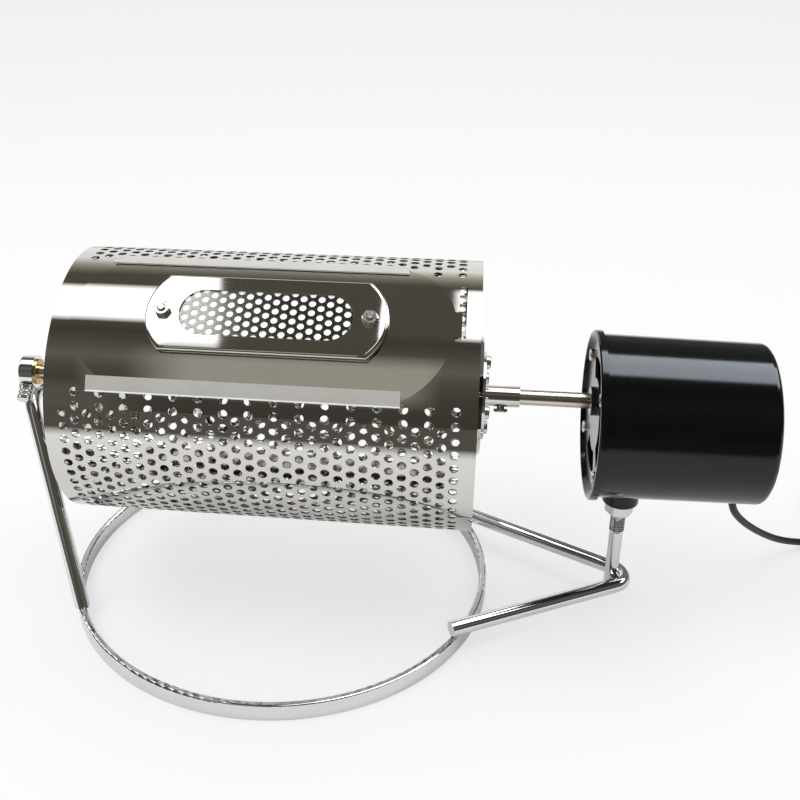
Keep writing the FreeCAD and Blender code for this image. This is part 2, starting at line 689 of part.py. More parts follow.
def left_stand():
    top = AXIS_HEIGHT - CUP_DIAMETER / 2 - ROD_DIAMETER / 2 + WELD_SINK
    apex = V((CUP_LEFT + CUP_RIGHT) / 2 + 1.2, 0, top)
    rod = hairpin(V(-FOOT_X, 0, RING_HEIGHT), apex, FOOT_Y, STAND_BEND, ROD_DIAMETER)
    foot = RING_HEIGHT - FOOT_LAP
    below = Part.makeBox(
        RING_DIAMETER, RING_DIAMETER, RING_DIAMETER, V(-RING_DIAMETER, -RING_RADIUS, foot - RING_DIAMETER))
    cup = cylinder_x(CUP_DIAMETER / 2, CUP_LEFT, CUP_RIGHT)
    return rod.cut(below).cut(cup).Solids[0]


def motor_arm():
    return hairpin(V(FOOT_X, 0, ARM_HEIGHT), V(ARM_TIP, 0, ARM_HEIGHT), FOOT_Y, ARM_BEND, ROD_DIAMETER / 2)


def thread_profile(bottom, top):
    """Half of a rod's outline with a V thread, as (x, z) points from its top down."""
    crest = THREAD_DIAMETER / 2
    groove = POST_DIAMETER / 2 - 0.15
    count = int((top - bottom) / THREAD_PITCH)
    points = [(0, top), (groove, top)]
    for k in range(count):
        z = top - k * THREAD_PITCH
        points += [(crest, z - share * THREAD_PITCH) for share in (0.35, 0.5)]
        points += [(groove, z - 0.9 * THREAD_PITCH)]
    return points


def motor_post():
    """A rod with a rolled thread at its top, welded inside the arm's bend."""
    top = BOSS_BOTTOM + THREAD_DIAMETER * 0.8
    bottom = ARM_HEIGHT - ROD_DIAMETER / 2
    thread = thread_profile(top - THREAD_LENGTH, top)
    low = thread[-1][1] - 0.5
    outline = thread + [(POST_DIAMETER / 2, low), (POST_DIAMETER / 2, bottom), (0, bottom)]
    points = [V(POST_X + r, 0, z) for r, z in outline]
    face = Part.Face(Part.makePolygon(points + points[:1]))
    return face.revolve(V(POST_X, 0, 0), V(0, 0, 1), 360).cut(motor_arm())


def post_nut():
    nut = hex_nut(NUT_ACROSS, NUT_HEIGHT, THREAD_DIAMETER + 2 * RUNNING_GAP)
    return onto(nut, V(POST_X, 0, BOSS_BOTTOM - NUT_HEIGHT), V(0, 0, 1))


def motor_boss():
    boss = Part.makeCylinder(BOSS_DIAMETER / 2, MOTOR_AXIS - BOSS_BOTTOM, V(POST_X, 0, BOSS_BOTTOM))
    lower = [e for e in boss.Edges if e.BoundBox.ZMax < BOSS_BOTTOM + 0.01]
    boss = boss.makeFillet(1.2, lower).cut(can_outer())
    bore_base = V(POST_X, 0, BOSS_BOTTOM - 1)
    bore = Part.makeCylinder(THREAD_DIAMETER / 2 + RUNNING_GAP, THREAD_DIAMETER, bore_base)
    return boss.cut(bore)


def can_profile(inset):
    """The can's half outline as lathe points, drawn in by an inset."""
    front = CAN_FRONT_DIAMETER / 2 - inset
    back = CAN_BACK_DIAMETER / 2 - inset
    end = CAN_RIGHT - inset
    corner = CAN_CORNER - inset if CAN_CORNER > inset else 0.5
    points = [(CAN_LEFT, 0), (CAN_LEFT, front), (end - corner, back)]
    for step in range(1, 5):
        a = math.radians(90 - 22.5 * step)
        points.append((end - corner + corner * math.cos(a), back - corner + corner * math.sin(a)))
    return points + [(end, 0)]


def can_outer():
    return lathe_x(can_profile(0), MOTOR_AXIS)


def grommet_drill():
    base = V(GROMMET_X, GROMMET_Y, MOTOR_AXIS - CAN_FRONT_DIAMETER / 2)
    return Part.makeCylinder(GROMMET_STEM / 2, CAN_FRONT_DIAMETER / 2, base)


def motor_can():
    return can_outer().cut(lathe_x(can_profile(CAN_SHEET), MOTOR_AXIS)).cut(grommet_drill())


def motor_rim():
    """The front ring: a wide band outside and a spigot inside the can, with a seat for the front plate."""
    outer = RIM_DIAMETER / 2
    spigot_end = CAN_LEFT + SPIGOT_LENGTH
    spigot_outer = CAN_FRONT_DIAMETER / 2 - CAN_SHEET - SLIDE_GAP
    seat = FRONT_PLATE_RADIUS - RIM_SEAT
    profile = [
        (MOTOR_FRONT, outer - RIM_FACE),
        (MOTOR_FRONT, outer - RIM_ROUND),
        (MOTOR_FRONT + RIM_ROUND, outer),
        (CAN_LEFT, outer),
        (CAN_LEFT, spigot_outer),
        (spigot_end, spigot_outer),
        (spigot_end, seat),
        (PLATE_RIGHT, seat),
        (PLATE_RIGHT, FRONT_PLATE_RADIUS),
        (PLATE_LEFT, FRONT_PLATE_RADIUS),
    ]
    return lathe_x(profile, MOTOR_AXIS)


def plate_points(x, radius):
    return [
        V(x, radius * math.cos(math.radians(a)), MOTOR_AXIS + radius * math.sin(math.radians(a)))
        for a in STANDOFF_ANGLES_DEG]


def vent(from_deg, to_deg):
    """A curved opening about the motor's axis."""
    def at(radius, angle_deg):
        a = math.radians(angle_deg)
        return V(PLATE_LEFT - 1, radius * math.cos(a), MOTOR_AXIS + radius * math.sin(a))
    angles = (from_deg, (from_deg + to_deg) / 2, to_deg)
    far = [at(VENT_OUTER, a) for a in angles]
    near = [at(VENT_INNER, a) for a in reversed(angles)]
    edges = [
        Part.Arc(*far).toShape(),
        Part.makeLine(far[-1], near[0]),
        Part.Arc(*near).toShape(),
        Part.makeLine(near[-1], far[0]),
    ]
    return Part.Face(Part.Wire(edges)).extrude(V(PLATE_SHEET + 2, 0, 0))


def front_plate():
    """The recessed plate that carries the drive shaft's bearing boss and the gears."""
    plate = cylinder_x(FRONT_PLATE_RADIUS, PLATE_LEFT, PLATE_RIGHT, 0, MOTOR_AXIS)
    plate = plate.fuse(cylinder_x(PLATE_BOSS_DIAMETER / 2, PLATE_LEFT - PLATE_BOSS_LENGTH, PLATE_LEFT))
    plate = plate.cut(cylinder_x(SHAFT_RADIUS + RUNNING_GAP, PLATE_LEFT - 10, PLATE_RIGHT + 1))
    plate = plate.cut([vent(*span) for span in VENT_SPANS_DEG])
    places = plate_points(PLATE_LEFT - PLATE_BOSS_LENGTH, STANDOFF_CIRCLE / 2)
    drills = [Part.makeCylinder(PLATE_SCREW_DIAMETER / 2, 10, place, V(1, 0, 0)) for place in places]
    pin = cylinder_x(PIN_DIAMETER / 2, PLATE_LEFT - 1, PLATE_RIGHT + 1, IDLER_Y, IDLER_Z)
    return plate.cut(drills + [pin]).removeSplitter()


def front_plate_screws():
    screw = pan_screw(PLATE_SCREW_HEAD, PLATE_SCREW_HEAD_HEIGHT, PLATE_SCREW_DIAMETER, PLATE_SHEET + 6)
    places = plate_points(PLATE_LEFT, STANDOFF_CIRCLE / 2)
    return Part.makeCompound([onto(screw, place, V(-1, 0, 0)) for place in places])


def gear_standoffs():
    pillars = []
    for point in plate_points(PLATE_RIGHT, STANDOFF_CIRCLE / 2):
        pillar = cylinder_x(STANDOFF_DIAMETER / 2, PLATE_RIGHT, GEAR_PLATE_LEFT, point.y, point.z)
        bore = cylinder_x(PLATE_SCREW_DIAMETER / 2, PLATE_RIGHT, PLATE_RIGHT + 6, point.y, point.z)
        pillars.append(pillar.cut(bore))
    return Part.makeCompound(pillars)


def gear_plate():
    right = GEAR_PLATE_LEFT + GEAR_PLATE_SHEET
    plate = cylinder_x(GEAR_PLATE_DIAMETER / 2, GEAR_PLATE_LEFT, right, 0, MOTOR_AXIS)
    rotor = cylinder_x(PIN_DIAMETER / 2 + RUNNING_GAP, GEAR_PLATE_LEFT - 1, right + 1, 0, MOTOR_AXIS)
    pin = cylinder_x(PIN_DIAMETER / 2, GEAR_PLATE_LEFT - 1, right + 1, IDLER_Y, IDLER_Z)
    return plate.cut([rotor, pin])


def idler_pin():
    return cylinder_x(PIN_DIAMETER / 2, PLATE_LEFT, GEAR_PLATE_LEFT + GEAR_PLATE_SHEET, IDLER_Y, IDLER_Z)


def output_gear():
    toward_idler = math.atan2(IDLER_Z - AXIS_HEIGHT, IDLER_Y)
    return gear(
        WHEEL_TEETH, OUTPUT_GEAR_WIDTH, SHAFT_DIAMETER, OUTPUT_GEAR_LEFT, 0, AXIS_HEIGHT, toward_idler)


def idler_gear():
    """A small gear in mesh with the output gear and a large one in mesh with the rotor's pinion."""
    toward_output = math.atan2(AXIS_HEIGHT - IDLER_Z, -IDLER_Y)
    toward_rotor = math.atan2(MOTOR_AXIS - IDLER_Z, -IDLER_Y)
    bore = PIN_DIAMETER + 2 * RUNNING_GAP
    small = gear(
        PINION_TEETH, WHEEL_LEFT - OUTPUT_GEAR_LEFT, bore, OUTPUT_GEAR_LEFT, IDLER_Y, IDLER_Z,
        toward_output + math.pi / PINION_TEETH)
    large = gear(WHEEL_TEETH, WHEEL_WIDTH, bore, WHEEL_LEFT, IDLER_Y, IDLER_Z, toward_rotor)
    return small.fuse(large)


def rotor_pinion():
    toward_idler = math.atan2(IDLER_Z - MOTOR_AXIS, IDLER_Y)
    phase = toward_idler + math.pi / PINION_TEETH
    return gear(PINION_TEETH, WHEEL_WIDTH, PIN_DIAMETER, WHEEL_LEFT, 0, MOTOR_AXIS, phase)


def rotor_shaft():
    return cylinder_x(PIN_DIAMETER / 2, WHEEL_LEFT, STATOR_RIGHT + 2.5, 0, MOTOR_AXIS)


def rotor_magnet():
    left = STATOR_LEFT + MAGNET_GAP
    right = STATOR_RIGHT - MAGNET_GAP
    return tube_x(MAGNET_DIAMETER / 2, PIN_DIAMETER / 2, left, right, 0, MOTOR_AXIS)


def stator_coil():
    return tube_x(STATOR_DIAMETER / 2, STATOR_BORE / 2, STATOR_LEFT, STATOR_RIGHT, 0, MOTOR_AXIS)


def motor_housing():
    """The inner cup round the stator, with the rotor's rear bearing in its floor."""
    inner = STATOR_DIAMETER / 2
    left = GEAR_PLATE_LEFT + GEAR_PLATE_SHEET
    cup = cylinder_x(inner + HOUSING_WALL, left, STATOR_RIGHT + HOUSING_WALL, 0, MOTOR_AXIS)
    cup = cup.cut(cylinder_x(inner, left, STATOR_RIGHT, 0, MOTOR_AXIS))
    bearing = cylinder_x(5.0, STATOR_RIGHT, STATOR_RIGHT + 4.0, 0, MOTOR_AXIS)
    bore = cylinder_x(PIN_DIAMETER / 2 + RUNNING_GAP, STATOR_RIGHT - 1, STATOR_RIGHT + 3.0, 0, MOTOR_AXIS)
    return cup.fuse(bearing).cut(bore).removeSplitter()


def bearing_cup():
    cup = cylinder_x(CUP_DIAMETER / 2, CUP_LEFT, CUP_RIGHT)
    left = [e for e in cup.Edges if e.BoundBox.XMax < CUP_LEFT + 0.01]
    cup = cup.makeFillet(1.2, left)
    cup = cup.cut(cylinder_x(BUSH_DIAMETER / 2, CUP_LEFT + CUP_FLOOR, CUP_RIGHT + 1))
    drill = Part.makeCylinder(LOCK_SCREW_DIAMETER / 2, CUP_DIAMETER, lock_point(0), lock_direction())
    return cup.cut(drill)


def bearing_bush():
    bush = tube_x(BUSH_DIAMETER / 2, SHAFT_RADIUS + RUNNING_GAP, CUP_LEFT + CUP_FLOOR, CUP_RIGHT)
    flange = tube_x(
        BUSH_FLANGE_DIAMETER / 2, SHAFT_RADIUS + RUNNING_GAP, CUP_RIGHT, CUP_RIGHT + BUSH_FLANGE)
    return bush.fuse(flange).removeSplitter()


def lock_direction():
    a = math.radians(LOCK_SCREW_TILT_DEG)
    return V(0, -math.sin(a), -math.cos(a))


def lock_point(radius):
    return V((CUP_LEFT + CUP_RIGHT) / 2, 0, AXIS_HEIGHT) + lock_direction() * radius


def lock_screw():
    """A grooved head on a stem that is screwed into the cup and bears on the bush."""
    start = CUP_DIAMETER / 2 + LOCK_WASHER_SHEET
    stem = Part.makeCylinder(
        LOCK_SCREW_DIAMETER / 2, start - BUSH_DIAMETER / 2, lock_point(BUSH_DIAMETER / 2), lock_direction())
    head = Part.makeCylinder(LOCK_SCREW_HEAD / 2, LOCK_SCREW_LENGTH, lock_point(start), lock_direction())
    for k in range(2):
        radius = start + LOCK_SCREW_LENGTH * (0.35 + 0.3 * k)
        groove = Part.makeTorus(LOCK_SCREW_HEAD / 2 + 0.5, 0.9, lock_point(radius), lock_direction())
        head = head.cut(groove)
    bush = cylinder_x(BUSH_DIAMETER / 2, CUP_LEFT, CUP_RIGHT)
    return stem.fuse(head).cut(bush)


def lock_washer():
    base = lock_point(CUP_DIAMETER / 2)
    washer = Part.makeCylinder(LOCK_WASHER_DIAMETER / 2, LOCK_WASHER_SHEET, base, lock_direction())
    bore_base = lock_point(CUP_DIAMETER / 2 - LOCK_WASHER_SHEET)
    return washer.cut(
        Part.makeCylinder(LOCK_SCREW_DIAMETER / 2, 3 * LOCK_WASHER_SHEET, bore_base, lock_direction()))


def can_bottom():
    """The height of the can's underside at the cord's hole."""
    share = (GROMMET_X - CAN_LEFT) / (CAN_LENGTH - CAN_CORNER)
    radius = CAN_FRONT_DIAMETER / 2 + share * (CAN_BACK_DIAMETER - CAN_FRONT_DIAMETER) / 2
    return MOTOR_AXIS - math.sqrt(radius ** 2 - GROMMET_Y ** 2)


def cord_grommet():
    """A rubber sleeve through the can, with a flange outside and a tapered nose round the cord."""
    skin = can_bottom()
    stem = Part.makeCylinder(GROMMET_STEM / 2, GROMMET_INSIDE, V(GROMMET_X, GROMMET_Y, skin))
    flange_base = V(GROMMET_X, GROMMET_Y, skin - GROMMET_FLANGE)
    flange = Part.makeCylinder(GROMMET_DIAMETER / 2, GROMMET_FLANGE + GROMMET_INSIDE / 2, flange_base)
    flange = flange.cut(can_outer())
    nose_base = V(GROMMET_X, GROMMET_Y, skin - GROMMET_LENGTH)
    nose = Part.makeCone(CORD_RADIUS + 0.5, GROMMET_NOSE / 2, GROMMET_LENGTH - GROMMET_FLANGE, nose_base)
    bore_base = V(GROMMET_X, GROMMET_Y, skin - 2 * GROMMET_LENGTH)
    bore = Part.makeCylinder(CORD_RADIUS + RUNNING_GAP, 4 * GROMMET_LENGTH, bore_base)
    return stem.cut(flange).fuse(flange).fuse(nose).cut(bore)


def cord_exit():
    return V(GROMMET_X, GROMMET_Y, can_bottom() - GROMMET_LENGTH + 1)


def coil_radius(turns):
    return COIL_OUTER_RADIUS - COIL_STEP * turns


def coil_point(turns):
    """A point of the coil by the turns wound so far: in on the table, up, and out on top."""
    half = 0.5
    if turns <= COIL_TURNS:
        radius = coil_radius(turns)
        z = FLOOR_CORD
    elif turns <= COIL_TURNS + half:
        share = (turns - COIL_TURNS) / half
        radius = coil_radius(COIL_TURNS) - COIL_STEP * half / math.pi * math.sin(math.pi * share)
        z = FLOOR_CORD + COIL_LAYER_STEP * (1 - math.cos(math.pi * share)) / 2
    else:
        radius = coil_radius(2 * COIL_TURNS + half - turns)
        z = FLOOR_CORD + COIL_LAYER_STEP
    a = 2 * math.pi * turns - math.pi / 2
    return V(COIL_X + radius * math.cos(a), COIL_Y + radius * math.sin(a), z)


def coil_tangent(turns):
    step = 1e-4
    ahead = coil_point(turns + step)
    behind = coil_point(turns - step)
    return (ahead - behind).normalize()


COIL_TOTAL = 2 * COIL_TURNS + 0.25
CORD_ROUTE = [
    (245.0, 9.5, 58.0),
    (252.0, 17.0, 45.0),
    (267.0, 31.0, 28.0),
    (286.0, 47.0, 11.5),
    (306.0, 60.0, 2.1),
    (328.0, 64.0, 2.1),
]


def coil_path():
    """The coil's centre line, with a straight lead-in and a straight tail to the plug."""
    start = coil_point(0)
    lead = start - V(CORD_DIAMETER, 0, 0)
    edges = [Part.makeLine(lead, start)]
    steps = round(COIL_TOTAL * 4)
    for k in range(steps):
        t0 = COIL_TOTAL * k / steps
        t1 = COIL_TOTAL * (k + 1) / steps
        tangent0 = V(1, 0, 0) if k == 0 else coil_tangent(t0)
        tangent1 = V(0, 1, 0) if k == steps - 1 else coil_tangent(t1)
        edges += biarc(coil_point(t0), tangent0, coil_point(t1), tangent1)
    end = coil_point(COIL_TOTAL)
    edges.append(Part.makeLine(end, end + V(0, CORD_TAIL, 0)))
    return Part.Wire(edges)


def cord_points():
    """The cord's corners: out of the grommet, down to the table and along it to the coil."""
    lead = coil_point(0) - V(CORD_DIAMETER, 0, 0)
    return [cord_exit()] + [V(*p) for p in CORD_ROUTE] + [lead]


def power_cord():
    points = cord_points()
    radii = []
    for k in range(1, len(points) - 1):
        into = points[k] - points[k - 1]
        away = points[k + 1] - points[k]
        turn = into.getAngle(away)
        radii.append(0.45 * min(into.Length, away.Length) / math.tan(turn / 2))
    print("cord radii", [round(r, 1) for r in radii])
    wire = rounded_wire(points, radii)
    tube = swept_rod(wire, CORD_DIAMETER)
    print("cord length", round(wire.Length, 1), "volume ratio",
          round(tube.Volume / (math.pi * CORD_RADIUS ** 2 * wire.Length), 4))
    return tube


def cord_coil():
    wire = coil_path()
    tube = swept_rod(wire, CORD_DIAMETER)
    samples = wire.discretize(Distance=2.0)
    least = COIL_OUTER_RADIUS
    for i, p in enumerate(samples):
        for q in samples[i + 12:]:
            least = min(least, p.distanceToPoint(q))
    print("coil length", round(wire.Length, 1), "least gap", round(least - CORD_DIAMETER, 2))
    return tube


def plug_base():
    return coil_point(COIL_TOTAL) + V(0, CORD_TAIL, 0)


def plug_body():
    """A flat plug with a tapered neck, its pins pointing away from the coil."""
    base = plug_base()
    neck = Part.makeCone(PLUG_NECK / 2 - 1.2, PLUG_NECK / 2 + 1.0, PLUG_NECK_LENGTH, base, V(0, 1, 0))
    left = base.x - PLUG_WIDTH / 2
    y0 = base.y + PLUG_NECK_LENGTH
    bottom = base.z - PLUG_THICKNESS / 2
    block = Part.makeBox(PLUG_WIDTH, PLUG_LENGTH, PLUG_THICKNESS, V(left, y0, bottom))
    along = [e for e in block.Edges if abs(e.BoundBox.YLength - PLUG_LENGTH) < 0.01]
    block = block.makeFillet(4.0, along)
    return neck.fuse(block)


def plug_pins():
    base = plug_base()
    y0 = base.y + PLUG_NECK_LENGTH + PLUG_LENGTH
    pins = []
    for side in (-1, 1):
        root = V(base.x + side * PLUG_PIN_SPACING / 2, y0, base.z)
        pin = Part.makeCylinder(PLUG_PIN_DIAMETER / 2, PLUG_PIN_LENGTH, root, V(0, 1, 0))
        tip = [e for e in pin.Edges if e.BoundBox.YMin > y0 + PLUG_PIN_LENGTH - 0.01]
        pins.append(pin.makeFillet(1.4, tip))
    return Part.makeCompound(pins)


NODES = {
    "drum_shell": drum_shell,
    "left_end_plate": lambda: end_plate(-1),
    "right_end_plate": lambda: end_plate(1),
    "left_hub": lambda: hub(-1, LEFT_SLEEVE_LENGTH),
    "right_hub": right_hub,
    "left_hub_screws": lambda: hub_screws(-1),
    "right_hub_screws": lambda: hub_screws(1),
    "left_hub_nuts": lambda: hub_nuts(-1),
    "right_hub_nuts": lambda: hub_nuts(1),
    "left_axle": left_axle,
    "drive_shaft": drive_shaft,
    "coupling_screw": coupling_screw,
    "upper_rail": lambda: rail(DOOR_ANGLE_DEG - DOOR_HALF_WIDTH_DEG, 1),
    "lower_rail": lambda: rail(DOOR_ANGLE_DEG + DOOR_HALF_WIDTH_DEG, -1),
    "stirring_vane_1": lambda: vane(VANE_ANGLES_DEG[0]),
    "stirring_vane_2": lambda: vane(VANE_ANGLES_DEG[1]),
    "stirring_vane_3": lambda: vane(VANE_ANGLES_DEG[2]),
    "door_plate": door_plate,
    "window_pane": window_pane,
    "window_mesh": window_mesh,
    "handle_plate": handle_plate,
    "door_spacers": door_spacers,
    "door_screws": door_screws,
    "door_nuts": door_nuts,
    "ring_stand": ring_stand,
    "left_stand": left_stand,
    "bearing_cup": bearing_cup,
    "bearing_bush": bearing_bush,
    "lock_screw": lock_screw,
    "lock_washer": lock_washer,
    "motor_arm": motor_arm,
    "motor_post": motor_post,
    "post_nut": post_nut,
    "motor_boss": motor_boss,
    "motor_can": motor_can,
    "motor_rim": motor_rim,
    "front_plate": front_plate,
    "front_plate_screws": front_plate_screws,
    "gear_standoffs": gear_standoffs,
    "gear_plate": gear_plate,
    "idler_pin": idler_pin,
    "output_gear": output_gear,
    "idler_gear": idler_gear,
    "rotor_pinion": rotor_pinion,
    "rotor_shaft": rotor_shaft,
    "rotor_magnet": rotor_magnet,
    "stator_coil": stator_coil,
    "motor_housing": motor_housing,
    "cord_grommet": cord_grommet,
    "power_cord": power_cord,
    "cord_coil": cord_coil,
    "plug_body": plug_body,
    "plug_pins": plug_pins,
}


def main():
    os.makedirs("parts", exist_ok=True)
    for name, make in NODES.items():
        shape = make()
        solids = shape.Solids
        if not solids or not all(s.isValid() for s in solids):
            print("BAD", name, len(solids), [s.isValid() for s in solids])
        box = shape.BoundBox
        print(name, len(solids), round(shape.Volume, 1),
              [round(v, 1) for v in (box.XMin, box.YMin, box.ZMin, box.XMax, box.YMax, box.ZMax)])
        shape.exportStep(os.path.join("parts", name + ".step"))


main()
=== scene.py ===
import json
import math

import bpy
from mathutils import Matrix, Vector
from mathutils.geometry import delaunay_2d_cdt


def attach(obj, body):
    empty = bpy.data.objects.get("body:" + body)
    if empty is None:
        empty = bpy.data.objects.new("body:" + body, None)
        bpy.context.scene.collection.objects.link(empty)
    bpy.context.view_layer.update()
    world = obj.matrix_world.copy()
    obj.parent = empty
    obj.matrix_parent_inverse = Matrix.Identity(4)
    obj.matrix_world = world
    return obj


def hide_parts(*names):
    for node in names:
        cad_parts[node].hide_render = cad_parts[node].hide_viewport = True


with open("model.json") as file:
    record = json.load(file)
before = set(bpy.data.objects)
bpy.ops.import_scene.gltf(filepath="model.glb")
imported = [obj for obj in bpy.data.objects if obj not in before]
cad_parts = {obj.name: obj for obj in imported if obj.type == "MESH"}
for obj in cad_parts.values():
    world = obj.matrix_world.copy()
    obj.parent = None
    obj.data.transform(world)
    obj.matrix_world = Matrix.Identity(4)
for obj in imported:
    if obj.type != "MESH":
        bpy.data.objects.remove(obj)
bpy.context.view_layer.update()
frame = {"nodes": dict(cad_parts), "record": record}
nodes = frame["nodes"]

# Sizes from the part's source, in metres and degrees. Angles on the drum run from its top to the front.
AXIS_Z = 0.1213
DRUM_RADIUS = 0.070
DRUM_LEFT = -0.101
DRUM_RIGHT = 0.106
SHELL_SHEET = 0.0008
DOOR_ANGLE = 36.4
DOOR_CENTRE = 0.0014
DOOR_HALF_LENGTH = 0.0929
DOOR_STRAIGHT = 0.0647
DOOR_HALF_WIDTH = 31.3
DOOR_INNER = 0.0703
DOOR_OUTER = 0.0711
TAB_LENGTH = 0.0026
TAB_FROM = 30.0
TAB_TO = 41.0
SLOT_LENGTH = 0.0036
SLOT_FROM = 15.5
OPENING_LENGTH = 0.120
OPENING_WIDTH = 36.0
HANDLE_CENTRE = 0.0044
HANDLE_LENGTH = 0.117
HANDLE_WIDTH = 0.041
HANDLE_RISE = 0.009
HANDLE_SHEET = 0.0008
HANDLE_DEPTH = 0.0028
HANDLE_TOP = 0.0740
WINDOW_LENGTH = 0.0833
WINDOW_WIDTH = 0.0244
MESH_LENGTH = 0.108
MESH_WIDTH = 0.032
MESH_SHEET = 0.0006
DOOR_SCREW_SPACING = 0.0997
DOOR_SCREW_RADIUS = 0.002

# Sizes that only this script has. In the source the window mesh has 3.3 mm holes at 5.5 mm pitch.
MESH_HOLE = 0.0034
MESH_PITCH = 0.005
HANDLE_FOLD = 0.0015
WINDOW_EDGE = 0.00025
BEAD_RADIUS = 0.0004
# How far the door's shading normals lean along -X, against 1 outward. A look, not a measured shape.
DOOR_LEAN = -0.022

# The drum's full hole pattern
HOLE_RADIUS = 0.00225
HOLE_SIDES = 16
ROWS = 63
COLUMNS = 32
FIRST_COLUMN = -0.0915
COLUMN_STEP = 0.00605
FIRST_ROW = 69.5
SEAM = 10.0

# Shading turns sharp where faces meet at more than this angle
NODE_SHARP = 32
LOFT_SHARP = 40
MERGE = 1e-7
TINY = 1e-6

# Camera: angles in radians, place in metres
CAMERA_YAW = -0.130
CAMERA_PITCH = 0.421
CAMERA_ROLL = 0.007
CAMERA_PLACE = (0.09808, -0.48341, 0.37382)
CAMERA_LENS = 46.49
CAMERA_SHIFT = (0.0733, -0.089)

# Cord
CORD_DIAMETER = 0.004
CORD_EXIT = (0.244, 0.008, 0.06824)
CORD_ROUTE = [
    (0.245, 0.0095, 0.058),
    (0.252, 0.017, 0.045),
    (0.267, 0.031, 0.028),
    (0.286, 0.047, 0.0115),
    (0.306, 0.060, 0.0021),
    (0.328, 0.064, 0.0021),
]
COIL_CENTRE = (0.350, 0.095)
COIL_RADIUS = 0.033
COIL_STEP = 0.00445
COIL_TURNS = 3.5
COIL_LAYER = 0.0045
COIL_TOTAL = 2 * COIL_TURNS + 0.25
COIL_POINTS_PER_TURN = 14
CORD_FLOOR = 0.0021
CORD_TAIL = 0.020


def link(obj):
    bpy.context.scene.collection.objects.link(obj)
    return obj


def make_camera():
    """The camera at the photograph's viewing angle."""
    yaw = CAMERA_YAW
    pitch = CAMERA_PITCH
    roll = CAMERA_ROLL
    forward = Vector((math.sin(yaw) * math.cos(pitch), math.cos(yaw) * math.cos(pitch), -math.sin(pitch)))
    level = Vector((math.cos(yaw), -math.sin(yaw), 0.0))
    down = forward.cross(level)
    right = level * math.cos(roll) + down * math.sin(roll)
    below = down * math.cos(roll) - level * math.sin(roll)
    data = bpy.data.cameras.new("camera")
    data.sensor_width = 36.0
    data.lens = CAMERA_LENS
    data.shift_x, data.shift_y = CAMERA_SHIFT
    data.clip_start = 0.01
    camera = link(bpy.data.objects.new("camera", data))
    columns = Matrix((right, -below, -forward)).transposed().to_4x4()
    camera.matrix_world = Matrix.Translation(Vector(CAMERA_PLACE)) @ columns
    bpy.context.scene.camera = camera


def mesh_object(name, vertices, faces, material, smooth=True):
    mesh = bpy.data.meshes.new(name)
    mesh.from_pydata(vertices, [], faces)
    mesh.polygons.foreach_set("use_smooth", [smooth] * len(mesh.polygons))
    mesh.materials.append(material)
    return link(bpy.data.objects.new(name, mesh))


def node_tree(name):
    material = bpy.data.materials.new(name)
    material.use_nodes = True
    tree = material.node_tree
    return material, tree, tree.nodes["Principled BSDF"]


def noise(tree, scale, detail=3.0, stretch=(1.0, 1.0, 1.0)):
    """A noise field over the object's own coordinates, in cells per metre."""
    place = tree.nodes.new("ShaderNodeTexCoord")
    mapping = tree.nodes.new("ShaderNodeMapping")
    mapping.inputs["Scale"].default_value = stretch
    field = tree.nodes.new("ShaderNodeTexNoise")
    field.inputs["Scale"].default_value = scale
    field.inputs["Detail"].default_value = detail
    tree.links.new(place.outputs["Object"], mapping.inputs["Vector"])
    tree.links.new(mapping.outputs["Vector"], field.inputs["Vector"])
    return field.outputs["Fac"]


def spread(tree, value, low, high):
    """Maps the middle of a noise field onto a range."""
    node = tree.nodes.new("ShaderNodeMapRange")
    node.inputs["From Min"].default_value = 0.3
    node.inputs["From Max"].default_value = 0.7
    node.inputs["To Min"].default_value = low
    node.inputs["To Max"].default_value = high
    tree.links.new(value, node.inputs["Value"])
    return node.outputs["Result"]


def bumps(tree, shader, fields):
    """Stacks bump layers of (height socket, distance in metres, strength)."""
    last = None
    for height, distance, strength in fields:
        node = tree.nodes.new("ShaderNodeBump")
        node.inputs["Distance"].default_value = distance
        node.inputs["Strength"].default_value = strength
        tree.links.new(height, node.inputs["Height"])
        if last:
            tree.links.new(last, node.inputs["Normal"])
        last = node.outputs["Normal"]
    tree.links.new(last, shader.inputs["Normal"])


def tinted(tree, shader, colour, field, amount):
    """Base colour that drifts a little darker by a noise field."""
    mix = tree.nodes.new("ShaderNodeMix")
    mix.data_type = "RGBA"
    mix.inputs["A"].default_value = (*colour, 1.0)
    mix.inputs["B"].default_value = (*[c * (1 - amount) for c in colour], 1.0)
    tree.links.new(field, mix.inputs["Factor"])
    tree.links.new(mix.outputs["Result"], shader.inputs["Base Color"])


def metal(name, colour, rough, spot=0.02, wave=0.0, brush=None, drift=0.05, metallic=1.0):
    """A metal with drifting roughness, soft waves in its face and, if asked, fine lines along X."""
    material, tree, shader = node_tree(name)
    shader.inputs["Metallic"].default_value = metallic
    cloud = noise(tree, 45.0)
    tinted(tree, shader, colour, spread(tree, cloud, 0.0, 1.0), drift)
    if brush:
        field = noise(tree, 1.0, 4.0, brush)
    else:
        field = noise(tree, 260.0, 4.0)
    tree.links.new(spread(tree, field, rough - spot, rough + spot), shader.inputs["Roughness"])
    layers = [(field, 0.00001, min(0.25, rough))]
    if wave:
        layers.append((noise(tree, 16.0, 1.0), wave, 1.0))
    bumps(tree, shader, layers)
    return material


